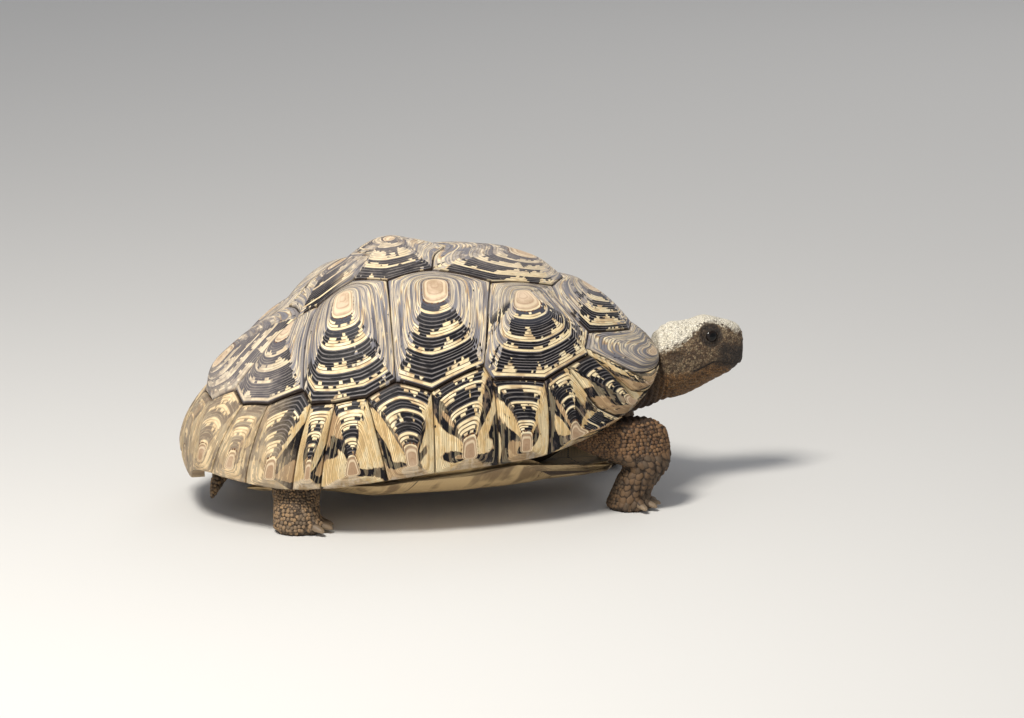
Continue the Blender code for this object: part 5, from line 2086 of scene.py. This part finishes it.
@dataclass
class Room:
    """Floor, lights and camera."""

    bearing: float = -12.0
    elevation: float = 13.0
    distance: float = 5.0
    aim: tuple[float, float, float] = (0.0438, 0.0102, 0.1177)
    lens: float = 198.84

    def build_floor(self) -> None:
        """A wide pale floor at the height of the soles."""
        mesh = bmesh.new()
        bmesh.ops.create_grid(mesh, x_segments=8, y_segments=8, size=12.0)
        data = settled("floor", mesh)
        data.materials.append(FloorPaint().make())
        floor = added("floor", data)

    def build_light(self, name: str, size: float, power: float, place: tuple,
                    colour: Colour) -> None:
        """One soft lamp that faces the animal.

        Args:
            name: Its name.
            size: The side of its square.
            power: Its power in watts.
            place: Where it hangs.
            colour: Its colour.
        """
        lamp = bpy.data.lights.new(name, "AREA")
        lamp.size = size
        lamp.energy = power
        lamp.color = colour
        holder = added(name, lamp)
        holder.location = place
        holder.rotation_mode = "QUATERNION"
        holder.rotation_quaternion = Vector(place).to_track_quat("Z", "Y")

    def build(self) -> None:
        """Everything around the animal."""
        self.build_floor()
        self.build_light("key", 0.6, 58.0, (-0.85, -0.90, 2.0), (1.0, 0.96, 0.89))
        self.build_light("fill", 2.5, 13.0, (-1.8, -2.6, 1.3), (0.93, 0.96, 1.0))
        self.build_light("rim", 1.5, 12.0, (1.6, 2.2, 1.9), (1.0, 0.98, 0.95))
        world = bpy.data.worlds.new("studio")
        world.use_nodes = True
        sky = world.node_tree.nodes["Background"].inputs
        sky["Color"].default_value = (0.9, 0.93, 1.0, 1.0)
        sky["Strength"].default_value = 0.34
        bpy.context.scene.world = world
        bearing, elevation = math.radians(self.bearing), math.radians(self.elevation)
        back = Vector((math.sin(bearing) * math.cos(elevation),
                       -math.cos(bearing) * math.cos(elevation), math.sin(elevation)))
        lens = bpy.data.cameras.new("camera")
        lens.lens = self.lens
        lens.sensor_width = 36.0
        lens.clip_end = 100.0
        camera = added("camera", lens)
        camera.location = Vector(self.aim) + back * self.distance
        camera.rotation_mode = "QUATERNION"
        camera.rotation_quaternion = back.to_track_quat("Z", "Y")
        bpy.context.scene.camera = camera


def front_kinds(point: Array) -> ScaleKind:
    """Which scale grows at a place on a front leg.

    Args:
        point: The place.

    Returns:
        The kind of scale.
    """
    outward = abs(point[1]) - 0.079 + (point[0] - 0.135) * 0.8
    if point[2] < 0.050 and outward > 0.002:
        return SHINGLE
    return PEBBLE if point[2] < 0.030 or outward > 0 else GRANULE


def hind_kinds(point: Array) -> ScaleKind:
    """Which scale grows at a place on a hind leg."""
    return PEBBLE if point[2] < 0.022 else GRANULE


def tail_kinds(point: Array) -> ScaleKind:
    """Which scale grows on the tail."""
    return PEBBLE


def dress(skin: Skin, hide: bpy.types.Object,
          material: bpy.types.Material) -> list[bpy.types.Object]:
    """Every limb's scales.

    Args:
        skin: The skin and its limbs.
        hide: The finished hide that the scales stand on.
        material: The scales' finish.

    Returns:
        The scale pieces.
    """
    polygons = [p.vertices[:] for p in hide.data.polygons]
    tree = BVHTree.FromPolygons([v.co for v in hide.data.vertices], polygons)
    pieces = []
    for number, limb in enumerate(skin.limbs):
        kinds = front_kinds if limb.kind is Leg.FRONT else hind_kinds
        coat = ScaleCoat(limb.points, f"scales_{limb.label}", 0.08, 0.98, kinds,
                         (0.02 + 0.2 * number, 0.02, 0.17, 0.95), number)
        pieces.append(coat.build(tree, skin.markings, material))
    tail = ScaleCoat(skin.tail.points, "scales_tail", 0.055, 0.97, tail_kinds,
                     (0.82, 0.02, 0.17, 0.95), 9)
    pieces.append(tail.build(tree, skin.markings, material))
    return pieces


def report(name: str, pieces: list[bpy.types.Object]) -> None:
    """Logs a sub-assembly's pieces and triangles.

    Args:
        name: The sub-assembly.
        pieces: Its pieces.
    """
    for piece in pieces:
        piece.data.calc_loop_triangles()
        LOG.info("%s: %s, %d triangles", name, piece.name, len(piece.data.loop_triangles))


def main() -> None:
    """Builds every piece in order."""
    logging.basicConfig(level=logging.INFO, format="%(name)s: %(message)s")
    horn = PlateHorn().make()
    plates = Carapace().build(horn)
    report("carapace", plates)
    report("belly plate", [BellyPlate().build(BellyHorn().make())])
    skin = Skin()
    hide = skin.build(Hide().make("Hide", False))
    report("hide", [hide])
    report("scales", dress(skin, hide, Hide().make("HideScales", True)))
    report("claws", [Claws(limb).build(ClawHorn().make()) for limb in LIMBS])
    report("eyes", [Eye(side).build() for side in PAIR])
    Room().build()
    bpy.context.scene.view_settings.view_transform = "Standard"


if __name__ == "__main__":
    main()
